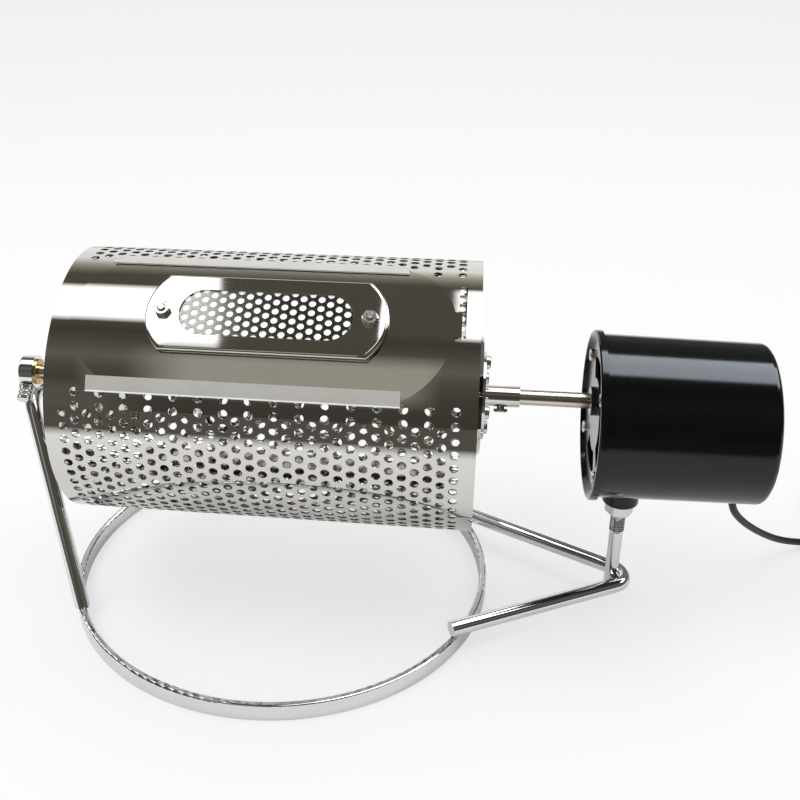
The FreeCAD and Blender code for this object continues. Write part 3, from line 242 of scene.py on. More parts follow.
def plain(name, colour, rough, coat=0.0, grain=900.0, depth=0.00003, drift=0.12, spot=0.04, wave=0.0,
          shine=0.5, glow=0.0):
    """A painted or moulded surface with a fine skin texture."""
    material, tree, shader = node_tree(name)
    shader.inputs["Specular IOR Level"].default_value = shine
    # A glow above 0 makes the surface shine white though it is no lamp: painted light.
    shader.inputs["Emission Color"].default_value = (1.0, 1.0, 1.0, 1.0)
    shader.inputs["Emission Strength"].default_value = glow
    shader.inputs["Coat Weight"].default_value = coat
    shader.inputs["Coat Roughness"].default_value = 0.04
    tinted(tree, shader, colour, spread(tree, noise(tree, 60.0), 0.0, 1.0), drift)
    skin = noise(tree, grain, 5.0)
    tree.links.new(spread(tree, skin, rough - spot, rough + spot), shader.inputs["Roughness"])
    layers = [(skin, depth, 0.3)]
    if wave:
        layers.append((noise(tree, 22.0, 1.0), wave, 1.0))
    bumps(tree, shader, layers)
    return material


MATERIALS = {
    "polished_steel": metal(
        "polished_steel", (0.68, 0.665, 0.635), 0.035, 0.012, 0.00006, (60.0, 1600.0, 1600.0)),
    "satin_steel": metal(
        "satin_steel", (0.74, 0.73, 0.70), 0.36, 0.06, 0.0, (1800.0, 90.0, 90.0), 0.08, 0.45),
    # A near-white finish for the lower rail's bead: a painted highlight line.
    "painted_highlight_edge": metal("painted_highlight_edge", (0.96, 0.955, 0.94), 0.4, 0.04, metallic=0.2),
    # A dark steel for the parts inside the motor can: painted shade.
    "painted_shade_steel": metal("painted_shade_steel", (0.10, 0.10, 0.10), 0.30, 0.04),
    "mesh_steel": metal("mesh_steel", (0.30, 0.295, 0.28), 0.10, 0.04, 0.0, (900.0, 900.0, 900.0)),
    "chrome": metal("chrome", (0.78, 0.79, 0.80), 0.06, 0.02, 0.00004),
    "zinc_screws": metal("zinc_screws", (0.70, 0.69, 0.66), 0.2, 0.05),
    "nickel_shaft": metal("nickel_shaft", (0.66, 0.61, 0.54), 0.2, 0.05, 0.0, (2200.0, 60.0, 60.0)),
    "brass": metal("brass", (0.62, 0.44, 0.20), 0.25, 0.06),
    "black_enamel": plain(
        "black_enamel", (0.003, 0.0034, 0.0038), 0.12, 0.1, 500.0, 0.00001, 0.2, 0.03, 0.00003, 0.3),
    "black_steel": plain("black_steel", (0.008, 0.008, 0.008), 0.22, 0.2, 700.0, 0.00002, 0.2),
    "zinc_plate": metal("zinc_plate", (0.10, 0.105, 0.11), 0.22, 0.06),
    "nylon": plain("nylon", (0.78, 0.76, 0.70), 0.45, 0.0, 600.0),
    "ferrite": plain("ferrite", (0.06, 0.06, 0.062), 0.6, 0.0, 1200.0, 0.00006),
    "copper": metal("copper", (0.58, 0.26, 0.13), 0.3, 0.08, 0.0, (2600.0, 40.0, 40.0)),
    # The white pane glows at strength 0.45: painted light, so it shows as a brightly lit white through the
    # holes.
    "white_pane": plain("white_pane", (0.93, 0.93, 0.92), 0.5, 0.0, 400.0, 0.00001, 0.03, glow=0.45),
    "rubber": plain("rubber", (0.022, 0.022, 0.022), 0.55, 0.0, 1500.0),
    "cord_sheath": plain("cord_sheath", (0.008, 0.007, 0.007), 0.38, 0.0, 1400.0, 0.00003, shine=0.35),
    "plug_plastic": plain("plug_plastic", (0.016, 0.016, 0.017), 0.42, 0.0, 1300.0, 0.00005),
}

# Nodes whose finish differs from the others of their slot. The gear plate and motor housing inside the can
# get a dark steel: painted shade where the can shades them.
FINISH_AND_PAINTED_SHADE = {
    "upper_rail": "satin_steel",
    "lower_rail": "satin_steel",
    "gear_plate": "painted_shade_steel",
    "motor_housing": "painted_shade_steel",
}


def finish_nodes():
    """Gives every CAD node its slot's material, or its own finish or painted shade, and smooth shading
    between sharp edges.
    """
    for row in frame["record"]["subparts"]:
        mesh = nodes[row["node"]].data
        mesh.materials.clear()
        mesh.materials.append(MATERIALS[FINISH_AND_PAINTED_SHADE.get(row["node"], row["material_slot"])])
        mesh.polygons.foreach_set("use_smooth", [True] * len(mesh.polygons))
        mesh.set_sharp_from_angle(angle=math.radians(NODE_SHARP))


def coil_point(turns):
    """A point of the coil by the turns wound so far: in on the table, up, and out on top."""
    half = 0.5
    inner = COIL_RADIUS - COIL_STEP * COIL_TURNS
    if turns <= COIL_TURNS:
        radius = COIL_RADIUS - COIL_STEP * turns
        rise = 0.0
    elif turns <= COIL_TURNS + half:
        share = (turns - COIL_TURNS) / half
        radius = inner - COIL_STEP * half / math.pi * math.sin(math.pi * share)
        rise = COIL_LAYER * (1 - math.cos(math.pi * share)) / 2
    else:
        radius = inner + COIL_STEP * (turns - COIL_TURNS - half)
        rise = COIL_LAYER
    angle = 2 * math.pi * turns - math.pi / 2
    x = COIL_CENTRE[0] + radius * math.cos(angle)
    y = COIL_CENTRE[1] + radius * math.sin(angle)
    return (x, y, CORD_FLOOR + rise)


def make_cord():
    """The mains lead: down from the motor, along the table and into its coil, with its plug."""
    start = coil_point(0)
    points = [CORD_EXIT] + CORD_ROUTE + [(start[0] - CORD_DIAMETER, start[1], start[2])]
    steps = round(COIL_TOTAL * COIL_POINTS_PER_TURN)
    points += [coil_point(COIL_TOTAL * k / steps) for k in range(steps + 1)]
    end = points[-1]
    points += [(end[0], end[1] + CORD_TAIL / 2, end[2]), (end[0], end[1] + CORD_TAIL, end[2])]
    curve = bpy.data.curves.new("mains_lead", "CURVE")
    curve.dimensions = "3D"
    curve.bevel_depth = CORD_DIAMETER / 2
    curve.bevel_resolution = 6
    curve.resolution_u = 6
    curve.use_fill_caps = True
    spline = curve.splines.new("NURBS")
    spline.points.add(len(points) - 1)
    for point, place in zip(spline.points, points):
        point.co = (*place, 1.0)
    spline.order_u = 3
    spline.use_endpoint_u = True
    curve.materials.append(MATERIALS["cord_sheath"])
    lead = link(bpy.data.objects.new("mains_lead", curve))
    plug = make_plug(Vector(points[-1]))
    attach(lead, "stand")
    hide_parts("power_cord", "cord_coil")


def rounded_ring(centre, y, half_x, half_z, corner, sides=8):
    """A rounded rectangle across Y as a ring of points."""
    ring = []
    for quarter, (sx, sz) in enumerate(((1, 1), (-1, 1), (-1, -1), (1, -1))):
        for k in range(sides + 1):
            a = math.radians(90 * quarter + 90 * k / sides)
            x = centre.x + sx * (half_x - corner) + corner * math.cos(a)
            z = centre.z + sz * (half_z - corner) + corner * math.sin(a)
            ring.append((x, centre.y + y, z))
    return ring


def loft(name, rings, material):
    """Skins a list of rings with the same count, capped at both ends."""
    count = len(rings[0])
    vertices = [p for ring in rings for p in ring]
    faces = []
    for k in range(len(rings) - 1):
        for j in range(count):
            a = k * count + j
            b = k * count + (j + 1) % count
            faces.append((a, a + count, b + count, b))
    faces.append(tuple(range(count)))
    faces.append(tuple(reversed(range((len(rings) - 1) * count, len(rings) * count))))
    obj = mesh_object(name, vertices, faces, material)
    obj.data.set_sharp_from_angle(angle=math.radians(LOFT_SHARP))
    return obj


def make_plug(base):
    """A moulded plug: a ribbed neck, waisted grips and a flat face for the pins."""
    sections = [(0.0, 0.0024, 0.0024, 0.0023)]
    for k in range(5):
        y = 0.0012 + 0.0021 * k
        size = 0.0029 + 0.0003 * k
        sections += [(y, size, size, size * 0.98), (y + 0.0011, size, size, size * 0.98),
                     (y + 0.0012, size - 0.0006, size - 0.0006, size * 0.7),
                     (y + 0.0019, size - 0.0006, size - 0.0006, size * 0.7)]
    sections += [
        (0.0122, 0.0062, 0.0046, 0.0040),
        (0.0135, 0.0090, 0.0055, 0.0042),
        (0.0160, 0.0114, 0.0061, 0.0042),
        (0.0200, 0.0124, 0.0064, 0.0042),
        (0.0250, 0.0121, 0.0062, 0.0042),
        (0.0300, 0.0117, 0.0060, 0.0042),
        (0.0350, 0.0119, 0.0062, 0.0042),
        (0.0400, 0.0126, 0.0064, 0.0042),
        (0.0440, 0.0129, 0.0064, 0.0042),
        (0.0454, 0.0127, 0.0062, 0.0041),
        (0.0460, 0.0121, 0.0056, 0.0036),
    ]
    rings = [rounded_ring(base, y, half_x, half_z, min(corner, half_x * 0.98, half_z * 0.98))
             for y, half_x, half_z, corner in sections]
    plug = loft("mains_plug", rings, MATERIALS["plug_plastic"])
    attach(plug, "stand")
    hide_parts("plug_body")
    return plug


def on_drum(x, degrees, radius):
    a = math.radians(degrees)
    return (x, -radius * math.sin(a), AXIS_Z + radius * math.cos(a))


def circle(x, degrees, radius, sides):
    """A round hole's points as (x, degrees) pairs on the drum."""
    points = []
    for k in range(sides):
        a = 2 * math.pi * k / sides
        swing = math.degrees(radius * math.sin(a) / DRUM_RADIUS)
        points.append((x + radius * math.cos(a), degrees + swing))
    return points


def divided(corners, step_x=0.004, step_deg=2.5):
    """A closed outline with its long sides divided."""
    points = []
    for k, (x0, a0) in enumerate(corners):
        x1, a1 = corners[(k + 1) % len(corners)]
        pieces = max(1, math.ceil(abs(x1 - x0) / step_x), math.ceil(abs(a1 - a0) / step_deg))
        points += [(x0 + (x1 - x0) * j / pieces, a0 + (a1 - a0) * j / pieces) for j in range(pieces)]
    return points


def inside(outline, x, a):
    """True if a point lies in a closed outline of (x, degrees) pairs."""
    found = False
    for k, (x0, a0) in enumerate(outline):
        x1, a1 = outline[k - 1]
        if (a0 > a) != (a1 > a) and x < (x1 - x0) * (a - a0) / (a1 - a0) + x0:
            found = not found
    return found


def joined_loops(loops):
    """The points of closed loops in one list, with each point's loop number and the loops' edges."""
    flat = []
    owner = []
    edges = []
    for mark, loop in enumerate(loops):
        first = len(flat)
        flat += [Vector(point) for point in loop]
        owner += [mark] * len(loop)
        edges += [(first + k, first + (k + 1) % len(loop)) for k in range(len(loop))]
    return flat, owner, edges


def curved_sheet(name, outline, holes, fill, inner, outer, material, closed=False, lean=0.0):
    """A sheet bent round the drum's axis, with smooth normals on both faces.

    outline and holes are closed lists of (x, degrees). fill holds free points that keep the faces small.
    A closed sheet goes all the way round. lean tips the normals along X."""
    scale = math.radians(1) * outer
    flat, owner, edges = joined_loops([[(x, a * scale) for x, a in loop] for loop in [outline] + holes])
    flat += [Vector((x, a * scale)) for x, a in fill]
    owner += [-1] * len(fill)
    points, _, triangles, source, _, _ = delaunay_2d_cdt(flat, edges, [], 0, MERGE)
    marks = [owner[s[0]] if s else -1 for s in source]
    kept = []
    for tri in triangles:
        ids = {marks[i] for i in tri}
        if len(ids) == 1 and min(ids) > 0:
            continue
        if not closed and ids == {0}:
            mid = sum((points[i] for i in tri), Vector((0.0, 0.0))) / 3
            if not inside(outline, mid.x, mid.y / scale):
                continue
        kept.append(tri)
    place = {}
    index = []
    spots = []
    for p in points:
        degrees = p.y / scale
        turn = degrees % 360 if closed else degrees
        key = (round(p.x * 1e7), round(turn * 1e4) % 3600000)
        if key not in place:
            place[key] = len(spots)
            spots.append((p.x, turn))
        index.append(place[key])
    count = len(spots)
    vertices = [on_drum(x, a, outer) for x, a in spots] + [on_drum(x, a, inner) for x, a in spots]
    outward = [Vector((lean, -math.sin(math.radians(a)), math.cos(math.radians(a)))).normalized()
               for _, a in spots]
    faces = []
    normals = []
    rims = {}
    for tri in kept:
        ring = [index[i] for i in tri]
        if len(set(ring)) < 3:
            continue
        a, b, c = (Vector(vertices[i]) for i in ring)
        if (b - a).cross(c - a).dot(outward[ring[0]]) < 0:
            ring.reverse()
        faces.append(tuple(ring))
        normals += [outward[i] for i in ring]
        faces.append(tuple(i + count for i in reversed(ring)))
        normals += [-outward[i] for i in reversed(ring)]
        for i, j in zip(ring, ring[1:] + ring[:1]):
            if (j, i) in rims:
                del rims[(j, i)]
            else:
                rims[(i, j)] = True
    for i, j in rims:
        faces.append((j, i, i + count, j + count))
        side = (Vector(vertices[j]) - Vector(vertices[i])).cross(outward[i]).normalized()
        normals += [side] * 4
    obj = mesh_object(name, vertices, faces, material)
    obj.data.normals_split_custom_set(normals)
    return obj


def hole_places():
    """(x, degrees) of every hole, as the photograph shows the pattern's edges."""
    row_step = 360.0 / ROWS
    places = []
    for column in range(COLUMNS):
        x = FIRST_COLUMN + column * COLUMN_STEP
        if column % 2:
            start = FIRST_ROW
            last = 360.0 + 0.9
            extra = column >= COLUMNS - 3
        else:
            start = FIRST_ROW + 1.5 * row_step
            last = 360.0 - 1.8
            extra = column <= 2
        stop = last + (row_step if extra else 0.0) + 0.2
        a = start
        while a < stop:
            places.append((x, a))
            a += row_step
    return places


def make_shell():
    """The drum's sheet with its opening, latch slot and full hole pattern."""
    half = OPENING_WIDTH / 2
    left = DOOR_CENTRE - OPENING_LENGTH / 2
    right = DOOR_CENTRE + OPENING_LENGTH / 2
    opening = divided([
        (left, DOOR_ANGLE - half),
        (right, DOOR_ANGLE - half),
        (right, DOOR_ANGLE + half),
        (left, DOOR_ANGLE + half),
    ])
    slot_left = DOOR_CENTRE + DOOR_HALF_LENGTH + 0.001
    slot_right = slot_left + SLOT_LENGTH
    slot = divided([
        (slot_left, SLOT_FROM),
        (slot_right, SLOT_FROM),
        (slot_right, TAB_TO),
        (slot_left, TAB_TO),
    ])
    outline = divided([
        (DRUM_LEFT, SEAM),
        (DRUM_RIGHT, SEAM),
        (DRUM_RIGHT, SEAM + 360),
        (DRUM_LEFT, SEAM + 360),
    ])
    places = hole_places()
    holes = [opening, slot] + [circle(x, a, HOLE_RADIUS, HOLE_SIDES) for x, a in places]
    fill = []
    for i in range(1, 50):
        x = DRUM_LEFT + i * (DRUM_RIGHT - DRUM_LEFT) / 50
        for j in range(28):
            a = SEAM + 1.3 + 2.5 * j
            near_hole = any(abs(px - x) < 0.0045 and abs(pa - a) < 3.8 for px, pa in places)
            in_opening = left - 0.001 < x < right + 0.001 and abs(a - DOOR_ANGLE) < half + 0.8
            in_slot = slot_left - 0.001 < x < slot_right + 0.001 and SLOT_FROM - 0.8 < a < TAB_TO + 0.8
            if not (near_hole or in_opening or in_slot):
                fill.append((x, a))
    shell = curved_sheet("perforated_shell", outline, holes, fill, DRUM_RADIUS - SHELL_SHEET, DRUM_RADIUS,
                         MATERIALS["polished_steel"], closed=True)
    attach(shell, "drum")
    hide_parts("drum_shell")


def make_door():
    """The curved door with bowed ends, its tab and its two screw holes."""
    half_width = DOOR_OUTER * math.sin(math.radians(DOOR_HALF_WIDTH))
    rise = DOOR_HALF_LENGTH - DOOR_STRAIGHT
    bow = (half_width ** 2 + rise ** 2) / (2 * rise)
    sweep = math.asin(half_width / bow)
    steps = 48
    tab_x = DOOR_CENTRE + DOOR_HALF_LENGTH + TAB_LENGTH
    right_arc = []
    left_arc = []
    for k in range(steps + 1):
        b = -sweep + 2 * sweep * k / steps
        across = bow * math.sin(b)
        reach = DOOR_HALF_LENGTH - bow + bow * math.cos(b)
        degrees = DOOR_ANGLE - math.degrees(math.asin(across / DOOR_OUTER))
        right_arc.append((DOOR_CENTRE + reach, degrees))
        left_arc.append((DOOR_CENTRE - reach, degrees))
    below = [p for p in right_arc if p[1] > TAB_TO]
    above = [p for p in right_arc if p[1] < TAB_FROM]
    tab = divided([
        (below[-1][0] + 0.0003, TAB_TO),
        (tab_x, TAB_TO),
        (tab_x, TAB_FROM),
        (above[0][0] + 0.0003, TAB_FROM),
    ])
    tab = [p for p in tab if not (p[0] < tab_x - TINY and TAB_FROM + 0.1 < p[1] < TAB_TO - 0.1)]
    lower = DOOR_ANGLE + DOOR_HALF_WIDTH
    upper = DOOR_ANGLE - DOOR_HALF_WIDTH
    run = [DOOR_CENTRE - DOOR_STRAIGHT + 2 * DOOR_STRAIGHT * k / 30 for k in range(1, 30)]
    outline = [(x, lower) for x in run] + below + tab + above
    outline += [(x, upper) for x in reversed(run)] + list(reversed(left_arc))
    screw_places = [HANDLE_CENTRE + side * DOOR_SCREW_SPACING / 2 for side in (-1, 1)]
    holes = [circle(x, DOOR_ANGLE, DOOR_SCREW_RADIUS, HOLE_SIDES) for x in screw_places]
    fill = []
    for i in range(1, 52):
        x = DOOR_CENTRE - DOOR_HALF_LENGTH + i * 2 * DOOR_HALF_LENGTH / 52
        for j in range(1, 26):
            a = upper + j * 2 * DOOR_HALF_WIDTH / 26
            across = DOOR_OUTER * math.sin(math.radians(a - DOOR_ANGLE))
            reach = DOOR_HALF_LENGTH - bow + math.sqrt(max(0.0, bow ** 2 - across ** 2))
            near_screw = abs(a - DOOR_ANGLE) < 3 and any(abs(x - screw) < 0.004 for screw in screw_places)
            if abs(x - DOOR_CENTRE) < reach - 0.0015 and not near_screw:
                fill.append((x, a))
    door = curved_sheet("door_sheet", outline, holes, fill, DOOR_INNER, DOOR_OUTER,
                        MATERIALS["polished_steel"], lean=DOOR_LEAN)
    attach(door, "door")
    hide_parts("door_plate")


def bowed_ring(half_length, half_width, rise, height, count=24):
    """A flat ring with straight long sides and bowed ends, as (along, across, height) points."""
    straight = half_length - rise
    bow = (half_width ** 2 + rise ** 2) / (2 * rise)
    sweep = math.asin(min(1.0, half_width / bow))
    ring = []
    for side in (1, -1):
        for k in range(count + 1):
            b = -sweep + 2 * sweep * k / count
            ring.append((side * (half_length - bow + bow * math.cos(b)), side * bow * math.sin(b), height))
        for k in range(1, count):
            ring.append((side * (straight - 2 * straight * k / count), side * half_width, height))
    return ring


def door_directions():
    """Up the door's face, and out from its middle."""
    a = math.radians(DOOR_ANGLE)
    return Vector((0.0, math.cos(a), math.sin(a))), Vector((0.0, -math.sin(a), math.cos(a)))


def make_handle():
    """The flat plate round the window, its rim folded over in a round towards the door."""
    half_length = HANDLE_LENGTH / 2
    half_width = HANDLE_WIDTH / 2
    rings = []
    for grow, height in ((0.0, -HANDLE_SHEET), (0.0, -WINDOW_EDGE), (WINDOW_EDGE, 0.0)):
        end = WINDOW_WIDTH / 2 + grow
        rings.append(bowed_ring(WINDOW_LENGTH / 2 + grow, end, end - TINY, height))
    for k in range(9):
        a = math.radians(90 * k / 8)
        off = HANDLE_FOLD * (1 - math.sin(a))
        height = HANDLE_FOLD * (math.cos(a) - 1)
        rings.append(bowed_ring(half_length - off, half_width - off, HANDLE_RISE, height))
    rings.append(bowed_ring(half_length, half_width, HANDLE_RISE, -HANDLE_DEPTH))
    for within, depth in (
            (HANDLE_SHEET, HANDLE_DEPTH), (HANDLE_SHEET, HANDLE_FOLD), (HANDLE_FOLD, HANDLE_SHEET)):
        rings.append(bowed_ring(half_length - within, half_width - within, HANDLE_RISE, -depth))
    across, normal = door_directions()
    base = Vector((HANDLE_CENTRE, 0.0, AXIS_Z)) + normal * HANDLE_TOP
    count = len(rings[0])
    vertices = [base + Vector((x, 0, 0)) + across * y + normal * z for ring in rings for x, y, z in ring]
    faces = []
    for k in range(len(rings)):
        after = (k + 1) % len(rings)
        for j in range(count):
            i = (j + 1) % count
            faces.append((k * count + j, k * count + i, after * count + i, after * count + j))
    plate = mesh_object("handle_sheet", vertices, faces, MATERIALS["polished_steel"])
    plate.data.set_sharp_from_angle(angle=math.radians(LOFT_SHARP))
    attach(plate, "door")
    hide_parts("handle_plate")


def make_window_mesh():
    """The perforated strip behind the window, with its holes at the pitch that the photograph shows."""
    strip = bowed_ring(MESH_LENGTH / 2, MESH_WIDTH / 2, MESH_WIDTH / 2 - TINY, 0.0)
    loops = [[(x, y) for x, y, _ in strip]]
    centres = []
    column_step = MESH_PITCH * math.sqrt(3) / 2
    for column in range(-10, 11):
        for row in range(-3, 4):
            x = column * column_step
            y = (row + 0.5 * (column % 2)) * MESH_PITCH
            overhang = max(0.0, abs(x) - (WINDOW_LENGTH - WINDOW_WIDTH) / 2)
            if math.hypot(overhang, y) < WINDOW_WIDTH / 2 + MESH_HOLE / 3:
                centres.append((x, y, MESH_HOLE / 2))
    centres += [(side * DOOR_SCREW_SPACING / 2, 0.0, DOOR_SCREW_RADIUS) for side in (-1, 1)]
    turns = [math.tau * k / HOLE_SIDES for k in range(HOLE_SIDES)]
    for x, y, radius in centres:
        loops.append([(x + radius * math.cos(turn), y + radius * math.sin(turn)) for turn in turns])
    flat, owner, edges = joined_loops(loops)
    points, _, triangles, source, _, _ = delaunay_2d_cdt(flat, edges, [], 0, MERGE)
    marks = [owner[origins[0]] for origins in source]
    kept = [tri for tri in triangles if len({marks[i] for i in tri}) > 1 or marks[tri[0]] == 0]
    across, normal = door_directions()
    top = Vector((HANDLE_CENTRE, 0.0, AXIS_Z)) + normal * (HANDLE_TOP - HANDLE_SHEET)
    vertices = [top + Vector((p.x, 0, 0)) + across * p.y for p in points]
    vertices += [v - normal * MESH_SHEET for v in vertices]
    count = len(points)
    faces = []
    rims = set()
    for tri in kept:
        a, b, c = (points[i] for i in tri)
        ring = list(tri) if (b - a).cross(c - a) > 0 else list(reversed(tri))
        faces.append(tuple(ring))
        faces.append(tuple(i + count for i in reversed(ring)))
        for edge in zip(ring, ring[1:] + ring[:1]):
            if edge[::-1] in rims:
                rims.remove(edge[::-1])
            else:
                rims.add(edge)
    faces += [(j, i, i + count, j + count) for i, j in sorted(rims)]
    sheet = mesh_object("window_strip", vertices, faces, MATERIALS["mesh_steel"], smooth=False)
    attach(sheet, "door")
    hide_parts("window_mesh")


def make_rail_bead():
    """A thin near-white bead along the lower rail's outer edge: a painted highlight line."""
    rings = []
    spots = [v.co for v in nodes["lower_rail"].data.vertices]
    reach = max(math.hypot(v.y, v.z - AXIS_Z) for v in spots)
    turn = max(math.degrees(math.atan2(-v.y, v.z - AXIS_Z)) for v in spots)
    for x in (min(v.x for v in spots), max(v.x for v in spots)):
        centre = Vector(on_drum(x, turn, reach - BEAD_RADIUS / 2))
        rings.append([(x, centre.y + BEAD_RADIUS * math.cos(math.radians(30 * k)),
                       centre.z + BEAD_RADIUS * math.sin(math.radians(30 * k))) for k in range(12)])
    bead = loft("lower_rail_edge", rings, MATERIALS["painted_highlight_edge"])
    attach(bead, "drum")


def math_node(tree, operation, a, b=None, c=None):
    node = tree.nodes.new("ShaderNodeMath")
    node.operation = operation
    for socket, value in zip(node.inputs, (a, b, c)):
        if value is None:
            continue
        if isinstance(value, (int, float)):
            socket.default_value = value
        else:
            tree.links.new(value, socket)
    return node.outputs[0]


def window(tree, value, low, high, soft):
    """1 between two limits and 0 outside, with soft edges."""
    parts = []
    for slope, offset in ((1 / soft, -low / soft + 0.5), (-1 / soft, high / soft + 0.5)):
        line = math_node(tree, "MULTIPLY_ADD", value, slope, offset)
        parts.append(math_node(tree, "MAXIMUM", math_node(tree, "MINIMUM", line, 1.0), 0.0))
    return math_node(tree, "MULTIPLY", *parts)


def blended(tree, base, other, factor):
    """Mixes two colours; each is a socket or a colour."""
    mix = tree.nodes.new("ShaderNodeMix")
    mix.data_type = "RGBA"
    for socket, value in ((mix.inputs["A"], base), (mix.inputs["B"], other)):
        if isinstance(value, tuple):
            socket.default_value = (*value, 1.0)
        else:
            tree.links.new(value, socket)
    tree.links.new(factor, mix.inputs["Factor"])
    return mix.outputs["Result"]


# What the studio shows a mirror, by the angle from straight up towards the front: (degrees, brightness).
# These levels and the cards below were set and rounded after tones were read off the photograph.
STUDIO = [(-180, 1.0), (-62, 1.0), (-50, 0.42), (-42, 0.2), (-35, 0.09), (15, 0.085), (24, 0.06),
          (34, 0.09), (46, 0.14), (55, 0.09), (68, 0.065), (90, 0.055), (180, 0.055)]
WARM = (1.08, 1.0, 0.82)
PALE = (1.0, 1.0, 0.985)

# Cards and soft boxes: that angle and the direction's X as (low, high, softness), and a colour
CARDS = [
    ((40.0, 73.0, 12.0), (-0.33, -0.05, 0.06), (0.42, 0.40, 0.35)),
    ((70.0, 125.0, 10.0), (-1.5, -0.32, 0.05), (0.12, 0.114, 0.10)),
    ((-200.0, -36.0, 6.0), (-1.5, -0.55, 0.05), (0.07, 0.07, 0.07)),
    ((-200.0, -36.0, 6.0), (0.06, 1.5, 0.05), (0.16, 0.16, 0.16)),
    ((-19.0, 13.0, 7.0), (-0.9, -0.235, 0.006), (2.2, 2.2, 2.2)),
    ((-32.0, 17.0, 6.0), (-0.008, 0.10, 0.010), (2.2, 2.2, 2.2)),
    ((-32.0, 4.0, 4.0), (0.10, 0.8, 0.01), (7.0, 7.6, 8.4)),
]


def make_world():
    """Plain white to the camera and an even light. A mirror sees the studio's soft boxes and dark room."""
    world = bpy.data.worlds.new("studio")
    bpy.context.scene.world = world
    world.use_nodes = True
    tree = world.node_tree
    tree.nodes.clear()
    place = tree.nodes.new("ShaderNodeTexCoord")
    split = tree.nodes.new("ShaderNodeSeparateXYZ")
    tree.links.new(place.outputs["Generated"], split.inputs[0])
    dx, dy, dz = split.outputs
    turn = math_node(tree, "DEGREES", math_node(tree, "ARCTAN2", math_node(tree, "MULTIPLY", dy, -1.0), dz))
    share = math_node(tree, "MULTIPLY_ADD", turn, 1 / 360, 0.5)
    ramp = tree.nodes.new("ShaderNodeValToRGB")
    tree.links.new(share, ramp.inputs["Fac"])
    stops = ramp.color_ramp.elements
    while len(stops) < len(STUDIO):
        stops.new(0.5)
    for stop, (degrees, _) in zip(stops, STUDIO):
        stop.position = (degrees + 180) / 360
    for stop, (_, level) in zip(stops, STUDIO):
        tint = WARM if level < 0.5 else PALE
        stop.color = (*[min(1.0, level * c) for c in tint], 1.0)
    colour = ramp.outputs["Color"]
    for turns, widths, shade in CARDS:
        mask = math_node(tree, "MULTIPLY", window(tree, turn, *turns), window(tree, dx, *widths))
        colour = blended(tree, colour, shade, mask)
    mirror = tree.nodes.new("ShaderNodeBackground")
    tree.links.new(colour, mirror.inputs["Color"])
    even = tree.nodes.new("ShaderNodeBackground")
    even.inputs["Color"].default_value = (1.0, 1.0, 1.0, 1.0)
    even.inputs["Strength"].default_value = 0.75
    white = tree.nodes.new("ShaderNodeBackground")
    white.inputs["Color"].default_value = (1.0, 1.0, 1.0, 1.0)
    path = tree.nodes.new("ShaderNodeLightPath")
    seen = math_node(tree, "MAXIMUM", path.outputs["Is Camera Ray"], path.outputs["Is Transmission Ray"])
    first = tree.nodes.new("ShaderNodeMixShader")
    tree.links.new(path.outputs["Is Glossy Ray"], first.inputs[0])
    tree.links.new(even.outputs[0], first.inputs[1])
    tree.links.new(mirror.outputs[0], first.inputs[2])
    second = tree.nodes.new("ShaderNodeMixShader")
    tree.links.new(seen, second.inputs[0])
    tree.links.new(first.outputs[0], second.inputs[1])
    tree.links.new(white.outputs[0], second.inputs[2])
    output = tree.nodes.new("ShaderNodeOutputWorld")
    tree.links.new(second.outputs[0], output.inputs["Surface"])


# The floor's glow as a share of its look, to the camera and to a mirror, and where it is dark to a mirror
FLOOR_GLOW = 0.6
MIRROR_GLOW = 0.1
FLOOR_DARK = (-30.0, -0.38, 0.13)
FLOOR_REACH = 8.0


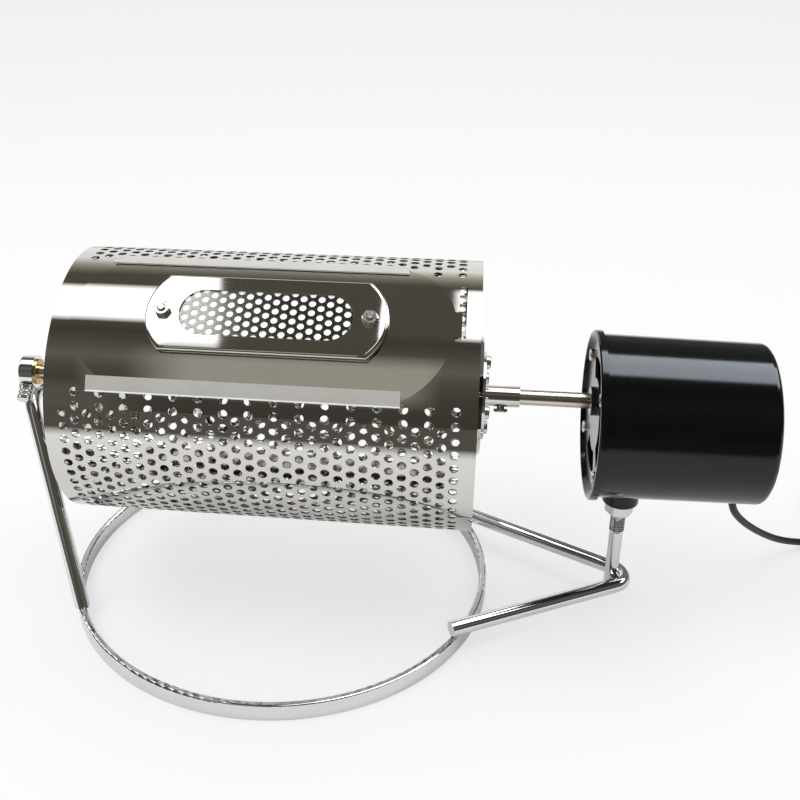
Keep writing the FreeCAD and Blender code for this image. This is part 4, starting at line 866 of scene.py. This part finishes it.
def make_floor():
    """A pale table top, white to the camera but for the object's shadow. Its front is dark to a mirror."""
    material = bpy.data.materials.new("table")
    material.use_nodes = True
    tree = material.node_tree
    tree.nodes.clear()
    diffuse = tree.nodes.new("ShaderNodeBsdfDiffuse")
    diffuse.inputs["Color"].default_value = (0.9, 0.9, 0.9, 1.0)
    glow = tree.nodes.new("ShaderNodeEmission")
    glow.inputs["Color"].default_value = (1.0, 1.0, 1.0, 1.0)
    glow.inputs["Strength"].default_value = 1.0
    dark = tree.nodes.new("ShaderNodeEmission")
    dark.inputs["Color"].default_value = (0.11, 0.104, 0.088, 1.0)
    path = tree.nodes.new("ShaderNodeLightPath")
    direct = math_node(tree, "MAXIMUM", path.outputs["Is Camera Ray"], path.outputs["Is Transmission Ray"])
    direct = math_node(tree, "MAXIMUM", direct, path.outputs["Is Glossy Ray"])
    first = tree.nodes.new("ShaderNodeMixShader")
    share = math_node(tree, "MULTIPLY", direct, FLOOR_GLOW)
    share = math_node(tree, "MULTIPLY_ADD", path.outputs["Is Glossy Ray"], MIRROR_GLOW - FLOOR_GLOW, share)
    tree.links.new(share, first.inputs[0])
    tree.links.new(diffuse.outputs[0], first.inputs[1])
    tree.links.new(glow.outputs[0], first.inputs[2])
    place = tree.nodes.new("ShaderNodeNewGeometry")
    split = tree.nodes.new("ShaderNodeSeparateXYZ")
    tree.links.new(place.outputs["Position"], split.inputs[0])
    beyond = window(tree, split.outputs[1], *FLOOR_DARK)
    second = tree.nodes.new("ShaderNodeMixShader")
    tree.links.new(math_node(tree, "MULTIPLY", beyond, path.outputs["Is Glossy Ray"]), second.inputs[0])
    tree.links.new(first.outputs[0], second.inputs[1])
    tree.links.new(dark.outputs[0], second.inputs[2])
    output = tree.nodes.new("ShaderNodeOutputMaterial")
    tree.links.new(second.outputs[0], output.inputs["Surface"])
    corners = [(x * FLOOR_REACH, y * FLOOR_REACH, 0) for x, y in ((-1, -1), (1, -1), (1, 1), (-1, 1))]
    mesh_object("table", corners, [(0, 1, 2, 3)], material, smooth=False)


def make_lamp(name, place, target, size, power):
    data = bpy.data.lights.new(name, "AREA")
    data.shape = "SQUARE"
    data.size = size
    data.energy = power
    lamp = link(bpy.data.objects.new(name, data))
    lamp.location = place
    lamp.rotation_euler = (Vector(target) - Vector(place)).to_track_quat("-Z", "Y").to_euler()
    lamp.visible_glossy = False
    lamp.visible_camera = False


make_camera()
make_cord()
finish_nodes()
make_shell()
make_door()
make_handle()
make_window_mesh()
make_rail_bead()
make_world()
make_floor()
make_lamp("key", (-0.7, -0.3, 1.5), (0.05, 0.0, 0.1), 0.8, 9.0)
make_lamp("fill", (0.9, 0.5, 1.4), (0.1, 0.0, 0.1), 0.8, 4.0)
bpy.context.scene.view_settings.view_transform = "Standard"
